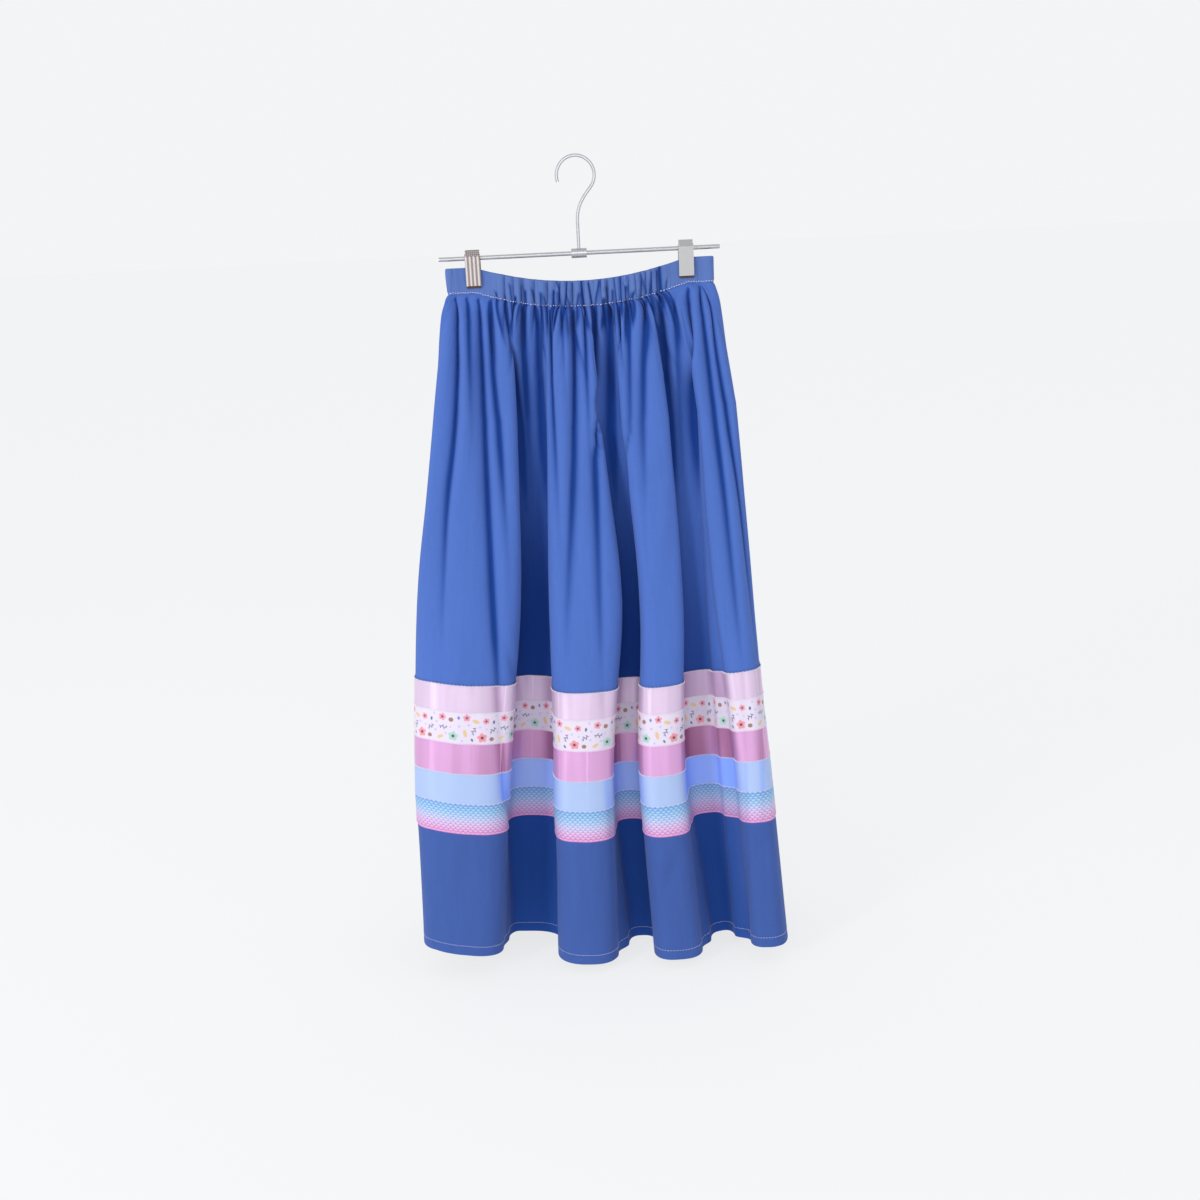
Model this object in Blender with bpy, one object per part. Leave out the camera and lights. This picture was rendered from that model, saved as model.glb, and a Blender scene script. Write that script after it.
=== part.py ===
"""A ribbon skirt held by a clip hanger, in metres, +Z up.

The skirt hangs as it does in a wardrobe: two spring clips hold the flat, gathered waist,
and the cloth falls into four deep pipe folds in front and four behind. The front faces -Y.
The origin is the inside top of the hanger's hook, where a rail would carry it.

Every height on the skirt is a drop: the distance down the cloth from the waist's top edge.
Every point of the cloth is P(drop, t). t counts the segments round a half of the skirt: its
side, then the quarter rounds and flanks of its pipe folds.
"""

import math

import bmesh
import bpy
import numpy as np
from mathutils import Vector

MM = 0.001

# Driving sizes of the skirt
LENGTH = 0.844          # waist to hem
WAIST_HALF = 0.156      # half of the gathered width
WAIST_GAP = 0.009       # front and back stand this far from the middle between the clips
CLIP_GAP = 0.0020       # and this far in a clip
END_GAP = 0.0045        # and this far at the two ends of the waist
SAG = 0.021             # the waist's middle hangs this much lower than its clipped ends
HEM_TILT = 0.035        # the hem drops this much for each metre to the right
CASING_DROP = 0.030     # height of the elastic's casing
FLARE_DROP = 0.17       # where the pipe folds have their full form
HEM_TURN = 0.0127       # the hem is turned up by half an inch
RIBBON_LEVEL = 0.58     # the width of the cloth is worked out here

# Thicknesses and gaps
CLOTH = 0.0012
CASING_WALL = 0.0030    # two layers of cloth with the elastic between them
RIBBON_WALL = 0.0010
GAP = 0.0003            # between two pieces that are sewn together

# Driving sizes of the hanger
WAIST_Z = -0.118        # the waist's top edge at the clips
CLIP_X = 0.125          # each clip's distance from the middle
PINCH_HALF = 0.0155     # the waist lies flat this far to each side of a clip's middle
PINCH_RUN = 0.028       # and opens over this length towards the middle
END_RUN = 0.010         # and over this length towards the waist's ends
CLIP_WIDTH = 0.0175
CLIP_TOP = 0.0200       # above the waist's edge
CLIP_FOOT = 0.0210      # below it
JAW_INNER = 0.0056      # from the middle to a jaw's inner face
JAW_SHEET = 0.0012
BAR_Z = WAIST_Z + 0.0105
BAR_RADIUS = 0.0025
BAR_HALF = 0.165
HOOK_WIRE = 0.0019      # radius of the hook's wire
HOOK_INSIDE = 0.0200    # radius inside the hook
HOOK_JOIN = -40         # the shank meets the hook's circle at this angle, in degrees
HOOK_SWEEP = 238        # and the circle runs on by this much
HOOK_BEND = 0.036       # the shank starts to bend this far above the bar
BOSS_RADIUS = 0.0055
BOSS_LENGTH = 0.018
BOSS_SOCKET = 0.008     # depth of the hole that takes the hook's foot
BAR_EDGE = 0.0008       # rounding of the bar's ends

# Driving sizes of a clip
JAW_NECK = 0.0025       # the jaw's upper plate starts this far above the bar's middle
JAW_NARROWING = 0.001   # the upper plate is narrower by this much on each side
JAW_OVERLAP = 0.0006    # and starts this far inside the lower one
JAW_FLARE = 0.0022      # its top leans out by this much
EAR_LOW = 0.0048        # the ears reach this far below the bar's middle
EAR_HIGH = 0.0052       # and above it
EAR_REACH = 0.0046      # and past it, towards the other jaw
EAR_TAPER = 0.001
SPRING_RADIUS = 0.0042
SPRING_LENGTH = 0.0105
PAD_BELOW = 0.0025      # a pad's foot shows this far below its jaw
PAD_TOP = 0.0125        # its top stands this far below the waist's edge
PAD_INSET = 0.0004
CUTTER_REACH = 0.05     # long enough to pass right through

# Rows: the pipe folds, left to right as seen from their own side. Edges in mm at each station.
STATIONS = (FLARE_DROP, 0.40, 0.56, LENGTH)
FRONT_PIPES = (
    {"left": (-181, -219, -233, -243), "right": (-86, -94, -113, -141), "crest": 0.55},
    {"left": (-47, -57, -61, -70), "right": (15, 31, 13, 7), "crest": 0.50},
    {"left": (42, 54, 46, 54), "right": (96, 106, 100, 116), "crest": 0.45},
    {"left": (134, 144, 159, 177), "right": (176, 192, 204, 226), "crest": 0.50},
)
BACK_PIPES = (
    {"left": (-176, -192, -204, -226), "right": (-104, -112, -117, -128), "crest": 0.50},
    {"left": (-66, -76, -83, -80), "right": (-14, -8, -16, -6), "crest": 0.50},
    {"left": (18, 30, 24, 34), "right": (76, 88, 96, 102), "crest": 0.55},
    {"left": (112, 128, 138, 148), "right": (181, 219, 233, 243), "crest": 0.45},
)
# Depth in mm of the valley to the right of each pipe fold but the last, at each station
FRONT_VALLEYS = ((22, 55, 72, 80), (22, 50, 62, 72), (18, 34, 50, 62))
BACK_VALLEYS = ((20, 46, 60, 66), (22, 52, 70, 78), (18, 44, 52, 58))
# How far each valley reaches behind the pipe folds on its left and right; less than 0 where the
# fold's flank lies open
FRONT_TUCKS = (
    {"left": (4, 5, 3, -6), "right": (5, 6, 6, 5)},
    {"left": (4, 6, 4, -14), "right": (5, 6, 6, 5)},
    {"left": (3, 6, 2, -12), "right": (0, -8, -16, -18)},
)
BACK_TUCKS = (
    {"left": (0, -6, -12, -16), "right": (4, 6, 3, -8)},
    {"left": (4, 6, 6, 4), "right": (4, 5, 3, -10)},
    {"left": (4, 6, 5, 4), "right": (3, 4, 2, -8)},
)
CRESTS = (30, 62, 84, 98)       # how far the crests stand out from the middle
SIDE_DENT = (4, 9, 13, 15)      # the sides fall in between front and back by this much

# Samples along each kind of segment
SIDE_STEPS, ROUND_STEPS, FLANK_STEPS = 4, 2, 2

# Ribbons, with the drops of their visible edges
RIBBONS = (
    {"name": "ribbon_1_pale_pink", "top": 0.4880, "foot": 0.5210, "colour": (0.83, 0.61, 0.85)},
    {"name": "ribbon_2_floral", "top": 0.5210, "foot": 0.5600, "colour": (0.90, 0.85, 0.86)},
    {"name": "ribbon_3_rose", "top": 0.5600, "foot": 0.5985, "colour": (0.68, 0.30, 0.61)},
    {"name": "ribbon_4_sky_blue", "top": 0.5985, "foot": 0.6370, "colour": (0.40, 0.58, 0.91)},
    {"name": "ribbon_5_scale", "top": 0.6370, "foot": 0.6770, "colour": (0.62, 0.62, 0.88)},
)
# Drops of the panels' rows
PANEL_ROWS = (
    [CASING_DROP + GAP, 0.060, 0.110, FLARE_DROP, 0.280, 0.400]
    + [ribbon["top"] for ribbon in RIBBONS]
    + [RIBBONS[-1]["foot"], LENGTH - HEM_TURN, LENGTH]
)

# Gathers: the columns stand out and in by turns, and the wave dies away down the cloth
CASING_GATHER = 0.0020
PANEL_GATHER = 0.0042
GATHER_END = 0.20

# Colours
BLUE = (0.075, 0.150, 0.520)
DEEP_BLUE = (0.060, 0.125, 0.450)
STEEL = (0.62, 0.63, 0.65)
RUBBER = (0.10, 0.045, 0.04)


def ease(t):
    """0 to 1, starting and ending softly."""
    t = np.clip(t, 0.0, 1.0)
    return t * t * (3 - 2 * t)


def at_drop(values_mm, drop):
    """A size that is given in mm at the stations, on a smooth curve through them, in metres."""
    x = np.array(STATIONS)
    y = np.array(values_mm, float) * MM
    slope = np.gradient(y, x)
    drop = min(max(drop, x[0]), x[-1])
    i = int(np.clip(np.searchsorted(x, drop) - 1, 0, len(x) - 2))
    h = x[i + 1] - x[i]
    t = (drop - x[i]) / h
    start = (2 * t**3 - 3 * t**2 + 1) * y[i] + (t**3 - 2 * t**2 + t) * h * slope[i]
    end = (3 * t**2 - 2 * t**3) * y[i + 1] + (t**3 - t**2) * h * slope[i + 1]
    return start + end


def quarter(t, power):
    """Sine and cosine of a quarter turn, flattened into a squarer round by a power under 1."""
    angle = t * math.pi / 2
    return np.sin(angle) ** power, np.clip(np.cos(angle), 0, 1) ** power


def half_section(pipes, valleys, tucks, drop, steps):
    """One half of the skirt's outline at a drop, seen as a front: its left side, then its pipe
    folds from left to right. steps gives the samples of a side, a quarter round and a flank."""
    crest_y = -at_drop(CRESTS, drop)
    outer = -crest_y * 0.42
    side, turn, flank = (np.arange(n) / n for n in steps)
    xs, ys = [], []

    def add(x, y):
        xs.append(x + 0 * y)
        ys.append(y + 0 * x)

    left = at_drop(pipes[0]["left"], drop)
    edge_y = crest_y + outer
    add(left + at_drop(SIDE_DENT, drop) * np.sin(math.pi * side) ** 2, -edge_y + 2 * edge_y * side)
    for k, pipe in enumerate(pipes):
        left, right = at_drop(pipe["left"], drop), at_drop(pipe["right"], drop)
        top = left + (right - left) * pipe["crest"]
        rise_left = at_drop(valleys[k - 1], drop) * 0.40 if k else outer
        rise_right = at_drop(valleys[k], drop) * 0.40 if k < len(valleys) else outer
        sine, cosine = quarter(turn, 0.8)
        add(top - (top - left) * cosine, crest_y + rise_left * (1 - sine))
        add(top + (right - top) * sine, crest_y + rise_right * (1 - cosine))
        if k == len(valleys):
            break
        depth = at_drop(valleys[k], drop)
        next_left = at_drop(pipes[k + 1]["left"], drop)
        start = right - at_drop(tucks[k]["left"], drop)
        end = next_left + at_drop(tucks[k]["right"], drop)
        middle = (start + end) / 2
        y_edge, y_neck, y_floor = crest_y + rise_right, crest_y + 0.68 * depth, crest_y + depth
        add(right + (start - right) * ease(flank), y_edge + (y_neck - y_edge) * flank)
        add(middle - (middle - start) * cosine, y_neck + (y_floor - y_neck) * sine)
        add(middle + (end - middle) * sine, y_neck + (y_floor - y_neck) * cosine)
        add(end + (next_left - end) * ease(flank), y_neck + (y_edge - y_neck) * flank)
    return np.concatenate(xs), np.concatenate(ys)


def ring_section(drop, steps):
    """The closed outline at a drop: the front half, then the back half turned round to meet it."""
    front_x, front_y = half_section(FRONT_PIPES, FRONT_VALLEYS, FRONT_TUCKS, drop, steps)
    back_x, back_y = half_section(BACK_PIPES, BACK_VALLEYS, BACK_TUCKS, drop, steps)
    return np.concatenate([front_x, -back_x]), np.concatenate([front_y, -back_y])


def cloth_share(steps):
    """Where each sample lies round the cloth, from 0 to 1 of its whole width."""
    x, y = ring_section(RIBBON_LEVEL, steps)
    lengths = np.hypot(np.roll(x, -1) - x, np.roll(y, -1) - y)
    return np.concatenate([[0.0], np.cumsum(lengths)[:-1]]) / lengths.sum()


def clear_of_clip(x, run):
    """0 in a clip and 1 away from it, changing softly over a run."""
    return ease((np.abs(np.abs(x) - CLIP_X) - PINCH_HALF) / run)


def waist_gap(x):
    """Half the space between the middles of the front and back walls, along the waist."""
    between = (WAIST_GAP - CLIP_GAP) * clear_of_clip(x, PINCH_RUN)
    past = (END_GAP - CLIP_GAP) * clear_of_clip(x, END_RUN)
    return CLIP_GAP + np.where(np.abs(x) > CLIP_X, past, between)


def waist_section(steps):
    """The gathered waist: a flat loop with round ends, shared out evenly round the cloth."""
    share = cloth_share(steps)
    half = len(share) // 2
    left_middle, right_middle = share[steps[0] // 2], share[half + steps[0] // 2]
    round_trip = np.interp(
        share,
        [right_middle - 1, left_middle, right_middle, 1 + left_middle],
        [-0.5, 0.0, 0.5, 1.0],
    )
    straight = 2 * (WAIST_HALF - END_GAP)
    end = math.pi * END_GAP
    along = (round_trip % 1.0) * 2 * (straight + end)
    sign = np.where(along > straight + end, -1.0, 1.0)
    along = np.where(sign < 0, along - straight - end, along)
    run = np.clip(along - end / 2, 0, straight) - straight / 2
    turn = np.where(run > 0, along - end / 2 - straight, along - end / 2) / END_GAP
    turn = np.where((along > end / 2) & (along < end / 2 + straight), 0.0, turn)
    x = run + END_GAP * np.sin(turn)
    y = -np.where(turn == 0.0, waist_gap(run), END_GAP * np.cos(turn))
    return x * sign, y * sign


def gather_wave(count, x, drop):
    """How far each column stands out: by turns out and in, still in the clips, gone lower down."""
    turns = np.where(np.arange(count) % 2 == 0, 1.0, -1.0)
    if drop <= CASING_DROP:
        size = CASING_GATHER * clear_of_clip(x, PINCH_RUN)
        return turns * np.where(np.abs(x) > CLIP_X, 0.0, size)
    fade = 1 - ease((drop - CASING_DROP) / (GATHER_END - CASING_DROP))
    near = ease((drop - CASING_DROP) / 0.02) + 0.4 * ease(np.abs(np.abs(x) - CLIP_X) / 0.03)
    return turns * PANEL_GATHER * fade * np.clip(near, 0, 1)


def outward(x, y):
    """The outward direction of a closed outline at each of its points, mitred at corners."""
    ahead = np.stack([np.roll(x, -1) - x, np.roll(y, -1) - y])
    ahead /= np.hypot(*ahead)
    behind = np.roll(ahead, 1, axis=1)
    mean = ahead + behind
    mean /= np.hypot(*mean)
    mitre = 1 / np.maximum(0.6, (mean * ahead).sum(axis=0))
    return mean[1] * mitre, -mean[0] * mitre


def cloth_ring(drop, steps=(SIDE_STEPS, ROUND_STEPS, FLANK_STEPS)):
    """The cloth's middle surface at a drop: its points and their outward directions."""
    waist_x, waist_y = waist_section(steps)
    x, y = ring_section(max(drop, FLARE_DROP), steps)
    spread = np.clip((drop - CASING_DROP) / (FLARE_DROP - CASING_DROP), 0, 1) ** 0.55
    x = waist_x + (x - waist_x) * spread
    y = waist_y + (y - waist_y) * spread
    out_x, out_y = outward(x, y)
    wave = gather_wave(len(x), waist_x, drop)
    x, y = x + wave * out_x, y + wave * out_y
    sag = SAG * np.clip(1 - (waist_x / CLIP_X) ** 2, 0, 1)
    z = WAIST_Z - drop - sag - HEM_TILT * x * (drop / LENGTH) ** 2
    out_x, out_y = outward(x, y)
    return np.stack([x, y, z], axis=1), np.stack([out_x, out_y, 0 * out_x], axis=1)


def material(name, colour, roughness=0.8, metallic=0.0):
    """A Principled BSDF with one colour."""
    made = bpy.data.materials.new(name)
    made.use_nodes = True
    shader = made.node_tree.nodes["Principled BSDF"]
    shader.inputs["Base Color"].default_value = (*colour, 1.0)
    shader.inputs["Roughness"].default_value = roughness
    shader.inputs["Metallic"].default_value = metallic
    made.diffuse_color = (*colour, 1.0)
    return made


def add_mesh(name, points, faces, finish, smooth_angle=50):
    """A mesh object, shaded smooth up to an angle."""
    mesh = bpy.data.meshes.new(name)
    mesh.from_pydata([tuple(p) for p in points], [], faces)
    mesh.materials.append(finish)
    mesh.shade_smooth()
    mesh.set_sharp_from_angle(angle=math.radians(smooth_angle))
    made = bpy.data.objects.new(name, mesh)
    bpy.context.scene.collection.objects.link(made)
    return made


def half_columns(half):
    """The column numbers of the front (0) or back (1) half, from seam to seam."""
    count = len(cloth_share((SIDE_STEPS, ROUND_STEPS, FLANK_STEPS)))
    return [(half * count // 2 + i) % count for i in range(count // 2 + 1)]


def cloth_wall(name, half, drops, inner, outer, finish):
    """A wall of cloth over one half of the skirt, between two distances from the middle surface.
    Its two side edges stand back by half a gap, so that front and back never touch."""
    columns = half_columns(half)
    layers = {inner: [], outer: []}
    for drop in drops:
        points, out = cloth_ring(drop)
        for offset, rows in layers.items():
            row = points[columns] + out[columns] * offset
            for end, inward in ((0, 1), (-1, -2)):
                step = row[inward] - row[end]
                row[end] += step * (GAP / 2 / np.linalg.norm(step))
            rows.append(row)
    wide, high = len(columns), len(drops)
    points = np.concatenate([np.concatenate(layers[outer]), np.concatenate(layers[inner])])
    faces = []

    def quad(a, b, c, d):
        faces.extend([(a, b, c), (a, c, d)])

    back = wide * high
    for r in range(high - 1):
        for c in range(wide - 1):
            a, b = r * wide + c, r * wide + c + 1
            d, e = a + wide, b + wide
            quad(a, d, e, b)
            quad(back + a, back + b, back + e, back + d)
    for c in range(wide - 1):
        quad(c, c + 1, back + c + 1, back + c)
        low = (high - 1) * wide + c
        quad(low + 1, low, back + low, back + low + 1)
    for r in range(high - 1):
        left, right = r * wide, r * wide + wide - 1
        quad(left + wide, left, back + left, back + left + wide)
        quad(right, right + wide, back + right + wide, back + right)
    return add_mesh(name, points, faces, finish)


def make_skirt():
    """The casing, the two panels, the turned hem and the five ribbons, front and back."""
    blue = material("blue_cotton", BLUE)
    casing = material("casing_cotton", DEEP_BLUE)
    ribbon_finish = {r["name"]: material(r["name"], r["colour"], 0.45) for r in RIBBONS}
    lift = CLOTH / 2 + GAP
    for half, side in enumerate(("front", "back")):
        cloth_wall(f"waist_casing_{side}", half, [0.0, CASING_DROP], -CASING_WALL / 2,
                   CASING_WALL / 2, casing)
        cloth_wall(f"panel_{side}", half, PANEL_ROWS, -CLOTH / 2, CLOTH / 2, blue)
        cloth_wall(f"hem_turn_{side}", half, [LENGTH - HEM_TURN, LENGTH], -lift - CLOTH, -lift, blue)
        for ribbon in RIBBONS:
            drops = [ribbon["top"] + GAP / 2, ribbon["foot"] - GAP / 2]
            cloth_wall(f"{ribbon['name']}_{side}", half, drops, lift, lift + RIBBON_WALL,
                       ribbon_finish[ribbon["name"]])


def face_out(mesh):
    """Turns the faces of a closed mesh outwards."""
    work = bmesh.new()
    work.from_mesh(mesh)
    bmesh.ops.recalc_face_normals(work, faces=work.faces)
    work.to_mesh(mesh)
    work.free()


def boxes_joined(name, boxes, finish):
    """One closed body from overlapping convex boxes, given as eight corners each."""
    whole = None
    faces = [(0, 3, 2, 1), (4, 5, 6, 7), (0, 1, 5, 4), (1, 2, 6, 5), (2, 3, 7, 6), (3, 0, 4, 7)]
    for i, corners in enumerate(boxes):
        piece = add_mesh(name if i == 0 else f"{name}_joined_{i}", corners, faces, finish, 30)
        face_out(piece.data)
        if whole is None:
            whole = piece
            continue
        join = whole.modifiers.new("join", "BOOLEAN")
        join.operation = "UNION"
        join.object = piece
        piece.hide_render = True
        piece.display_type = "WIRE"
    return whole


def prism(x, profile_low, profile_high):
    """Eight corners of a bar of width x = (low, high) between two (y, z) edges, each two points."""
    (a, b), (c, d) = profile_low, profile_high
    return [(x[0], *a), (x[1], *a), (x[1], *b), (x[0], *b),
            (x[0], *c), (x[1], *c), (x[1], *d), (x[0], *d)]


def cylinder(name, radius, length, centre, axis, finish, sides=24):
    """A plain round bar with its middle at centre."""
    ring = [(radius * math.cos(2 * math.pi * i / sides), radius * math.sin(2 * math.pi * i / sides))
            for i in range(sides)]
    turn = Vector((0, 0, 1)).rotation_difference(Vector(axis)).to_matrix()
    ends = [[turn @ Vector((x, y, z)) + Vector(centre) for x, y in ring]
            for z in (-length / 2, length / 2)]
    faces = [tuple(range(sides))[::-1], tuple(range(sides, 2 * sides))]
    faces += [(i, (i + 1) % sides, sides + (i + 1) % sides, sides + i) for i in range(sides)]
    return add_mesh(name, ends[0] + ends[1], faces, finish, 40)


def cut(body, cutter):
    """Takes the cutter's shape out of a body."""
    cutter.hide_render = True
    cutter.display_type = "WIRE"
    taken = body.modifiers.new("cut", "BOOLEAN")
    taken.operation = "DIFFERENCE"
    taken.object = cutter


def make_jaw(name, middle_x, side, ear_inset, finish):
    """One jaw of a clip: a plate with a flared thumb rest, and two ears round the bar.
    side is -1 in front and 1 behind."""
    half = CLIP_WIDTH / 2
    inner, outer = side * JAW_INNER, side * (JAW_INNER + JAW_SHEET)
    foot, neck, top = WAIST_Z - CLIP_FOOT, BAR_Z + JAW_NECK, WAIST_Z + CLIP_TOP
    flare = side * JAW_FLARE
    span = (middle_x - half, middle_x + half)
    narrow = (span[0] + JAW_NARROWING, span[1] - JAW_NARROWING)

    def plate(x, low_z, high_z, shift):
        low = ((inner, low_z), (outer, low_z))
        high = ((inner + shift, high_z), (outer + shift, high_z))
        return prism(x, low, high)

    boxes = [plate(span, foot, neck, 0.0), plate(narrow, neck - JAW_OVERLAP, top, flare)]
    ear_low, ear_high = BAR_Z - EAR_LOW, BAR_Z + EAR_HIGH
    reach, root = -side * EAR_REACH, side * (JAW_INNER + JAW_SHEET / 2)
    for hand in (-1, 1):
        edge = middle_x + hand * (half - ear_inset)
        x = (min(edge, edge - hand * JAW_SHEET), max(edge, edge - hand * JAW_SHEET))
        boxes.append(prism(x, ((reach, ear_low + EAR_TAPER), (root, ear_low)),
                           ((reach, ear_high - EAR_TAPER), (root, ear_high))))
    jaw = boxes_joined(name, boxes, finish)
    hole = cylinder(f"{name}_hole", BAR_RADIUS + GAP, CUTTER_REACH, (middle_x, 0, BAR_Z), (1, 0, 0),
                    finish)
    cut(jaw, hole)


def make_clip(name, middle_x, steel, rubber):
    """A spring clip: two jaws that pinch the waist with rubber pads, and the spring between."""
    make_jaw(f"{name}_jaw_front", middle_x, -1, 0.0, steel)
    make_jaw(f"{name}_jaw_back", middle_x, 1, JAW_SHEET + GAP, steel)
    spring = cylinder(f"{name}_spring", SPRING_RADIUS, SPRING_LENGTH, (middle_x, 0, BAR_Z),
                      (1, 0, 0), steel)
    cut(spring, cylinder(f"{name}_spring_hole", BAR_RADIUS + GAP, CUTTER_REACH,
                         (middle_x, 0, BAR_Z), (1, 0, 0), steel))
    cloth_face = CLIP_GAP + CASING_WALL / 2
    low, high = WAIST_Z - CLIP_FOOT - PAD_BELOW, WAIST_Z - PAD_TOP
    half = CLIP_WIDTH / 2 - PAD_INSET
    for side, word in ((-1, "front"), (1, "back")):
        near, far = side * (cloth_face + GAP), side * (JAW_INNER - GAP)
        boxes_joined(f"{name}_pad_{word}",
                     [prism((middle_x - half, middle_x + half), ((near, low), (far, low)),
                            ((near, high), (far, high)))], rubber)


def make_hanger():
    """The bar, the boss on its middle, the hook and the two clips."""
    steel = material("hanger_steel", STEEL, 0.3, 1.0)
    rubber = material("clip_rubber", RUBBER, 0.7)
    bar = cylinder("hanger_bar", BAR_RADIUS, 2 * BAR_HALF, (0, 0, BAR_Z), (1, 0, 0), steel)
    edge = bar.modifiers.new("rounded_ends", "BEVEL")
    edge.width = BAR_EDGE
    edge.segments = 2
    boss = cylinder("hanger_boss", BOSS_RADIUS, BOSS_LENGTH, (0, 0, BAR_Z), (1, 0, 0), steel)
    cut(boss, cylinder("boss_bar_hole", BAR_RADIUS + GAP, CUTTER_REACH, (0, 0, BAR_Z), (1, 0, 0),
                       steel))
    cut(boss, cylinder("boss_hook_hole", HOOK_WIRE + GAP, BOSS_SOCKET,
                       (0, 0, BAR_Z + BAR_RADIUS + BOSS_SOCKET / 2), (0, 0, 1), steel))
    make_hook(steel)


def make_hook(steel):
    """One bent wire: a straight shank, a short reverse bend, and most of a circle."""
    radius = HOOK_INSIDE + HOOK_WIRE
    centre = Vector((0.0, 0.0, -HOOK_INSIDE))
    start = math.radians(HOOK_JOIN)
    foot = Vector((0, 0, BAR_Z + HOOK_BEND))
    points = [Vector((0, 0, BAR_Z + BAR_RADIUS + 2 * GAP)), Vector((0, 0, BAR_Z + HOOK_BEND / 3)),
              Vector((0, 0, BAR_Z + 2 * HOOK_BEND / 3))]
    join = centre + radius * Vector((math.cos(start), 0, math.sin(start)))
    heading = Vector((-math.sin(start), 0, math.cos(start)))
    reach = (join - foot).length * 0.40
    for i in range(8):
        t = i / 8
        a, b = foot + Vector((0, 0, reach)), join - heading * reach
        points.append((1 - t) ** 3 * foot + 3 * (1 - t) ** 2 * t * a + 3 * (1 - t) * t**2 * b
                      + t**3 * join)
    for i in range(25):
        angle = start + math.radians(HOOK_SWEEP) * i / 24
        points.append(centre + radius * Vector((math.cos(angle), 0, math.sin(angle))))
    curve = bpy.data.curves.new("hanger_hook", "CURVE")
    curve.dimensions = "3D"
    curve.bevel_depth = HOOK_WIRE
    curve.bevel_resolution = 3
    curve.use_fill_caps = True
    line = curve.splines.new("POLY")
    line.points.add(len(points) - 1)
    for point, place in zip(line.points, points):
        point.co = (*place, 1.0)
    curve.materials.append(steel)
    hook = bpy.data.objects.new("hanger_hook", curve)
    bpy.context.scene.collection.objects.link(hook)


def main():
    for old in list(bpy.data.objects):
        bpy.data.objects.remove(old, do_unlink=True)
    make_skirt()
    make_hanger()
    steel = bpy.data.materials["hanger_steel"]
    rubber = bpy.data.materials["clip_rubber"]
    for name, x in (("clip_left", -CLIP_X), ("clip_right", CLIP_X)):
        make_clip(name, x, steel, rubber)


main()
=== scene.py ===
"""Looks for a ribbon skirt that hangs from a clip hanger: gathered blue cotton, five sewn ribbons,
stitching, hanger, floor, light and camera. Metres, +Z up, the skirt's front faces -Y."""

import math

import bpy
import numpy as np
from mathutils import Matrix, Vector


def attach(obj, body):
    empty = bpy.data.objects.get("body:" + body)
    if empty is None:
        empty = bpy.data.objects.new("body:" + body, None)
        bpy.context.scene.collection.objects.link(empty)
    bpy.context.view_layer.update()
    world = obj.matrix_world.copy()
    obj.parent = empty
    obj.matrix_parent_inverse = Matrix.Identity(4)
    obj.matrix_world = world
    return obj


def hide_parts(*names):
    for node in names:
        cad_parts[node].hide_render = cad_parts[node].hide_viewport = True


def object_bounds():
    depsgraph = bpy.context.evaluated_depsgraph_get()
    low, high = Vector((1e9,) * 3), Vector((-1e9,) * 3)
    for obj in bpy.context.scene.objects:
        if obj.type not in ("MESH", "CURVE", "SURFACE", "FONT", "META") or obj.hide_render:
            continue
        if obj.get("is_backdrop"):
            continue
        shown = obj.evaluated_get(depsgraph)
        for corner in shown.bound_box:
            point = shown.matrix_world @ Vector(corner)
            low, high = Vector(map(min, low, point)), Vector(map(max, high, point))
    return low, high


bl_info = {
    "name": "Ribbon Skirt",
    "version": (1, 0, 0),
    "blender": (4, 5, 0),
    "location": "3D View > Sidebar > Skirt",
    "description": "Dresses a ribbon skirt's solids in cotton, satin, prints and stitching",
    "category": "Object",
}

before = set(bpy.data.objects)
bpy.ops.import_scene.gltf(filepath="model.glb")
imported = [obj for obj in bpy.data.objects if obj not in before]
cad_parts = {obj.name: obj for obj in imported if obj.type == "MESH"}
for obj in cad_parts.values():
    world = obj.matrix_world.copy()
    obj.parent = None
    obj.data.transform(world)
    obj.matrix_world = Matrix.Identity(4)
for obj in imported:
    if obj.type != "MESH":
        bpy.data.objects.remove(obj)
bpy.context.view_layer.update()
MM = 0.001


def table(columns, *rows):
    """Rows of values, each as a record, with the columns named once."""
    return [dict(zip(columns.split(), row)) for row in rows]


# ---------------------------------------------------------------- sizes shared with the solids
LENGTH = 0.844
WAIST_HALF = 0.156
WAIST_GAP = 0.009
CLIP_GAP = 0.0020
END_GAP = 0.0045
SAG = 0.021
HEM_TILT = 0.035
CASING_DROP = 0.030
FLARE_DROP = 0.17
HEM_TURN = 0.0127
RIBBON_LEVEL = 0.58
CASING_WALL = 0.0030
WAIST_Z = -0.118
CLIP_X = 0.125
PINCH_HALF = 0.0155
PINCH_RUN = 0.028
END_RUN = 0.010
CLIP_FOOT = 0.0210
BAR_Z = WAIST_Z + 0.0105
STATIONS = (FLARE_DROP, 0.40, 0.56, LENGTH)
FRONT_PIPES = table(
    "left right crest",
    ((-181, -219, -233, -243), (-86, -94, -113, -141), 0.55),
    ((-47, -57, -61, -70), (15, 31, 13, 7), 0.50),
    ((42, 54, 46, 54), (96, 106, 100, 116), 0.45),
    ((134, 144, 159, 177), (176, 192, 204, 226), 0.50),
)
BACK_PIPES = table(
    "left right crest",
    ((-176, -192, -204, -226), (-104, -112, -117, -128), 0.50),
    ((-66, -76, -83, -80), (-14, -8, -16, -6), 0.50),
    ((18, 30, 24, 34), (76, 88, 96, 102), 0.55),
    ((112, 128, 138, 148), (181, 219, 233, 243), 0.45),
)
FRONT_VALLEYS = ((22, 55, 72, 80), (22, 50, 62, 72), (18, 34, 50, 62))
BACK_VALLEYS = ((20, 46, 60, 66), (22, 52, 70, 78), (18, 44, 52, 58))
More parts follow.
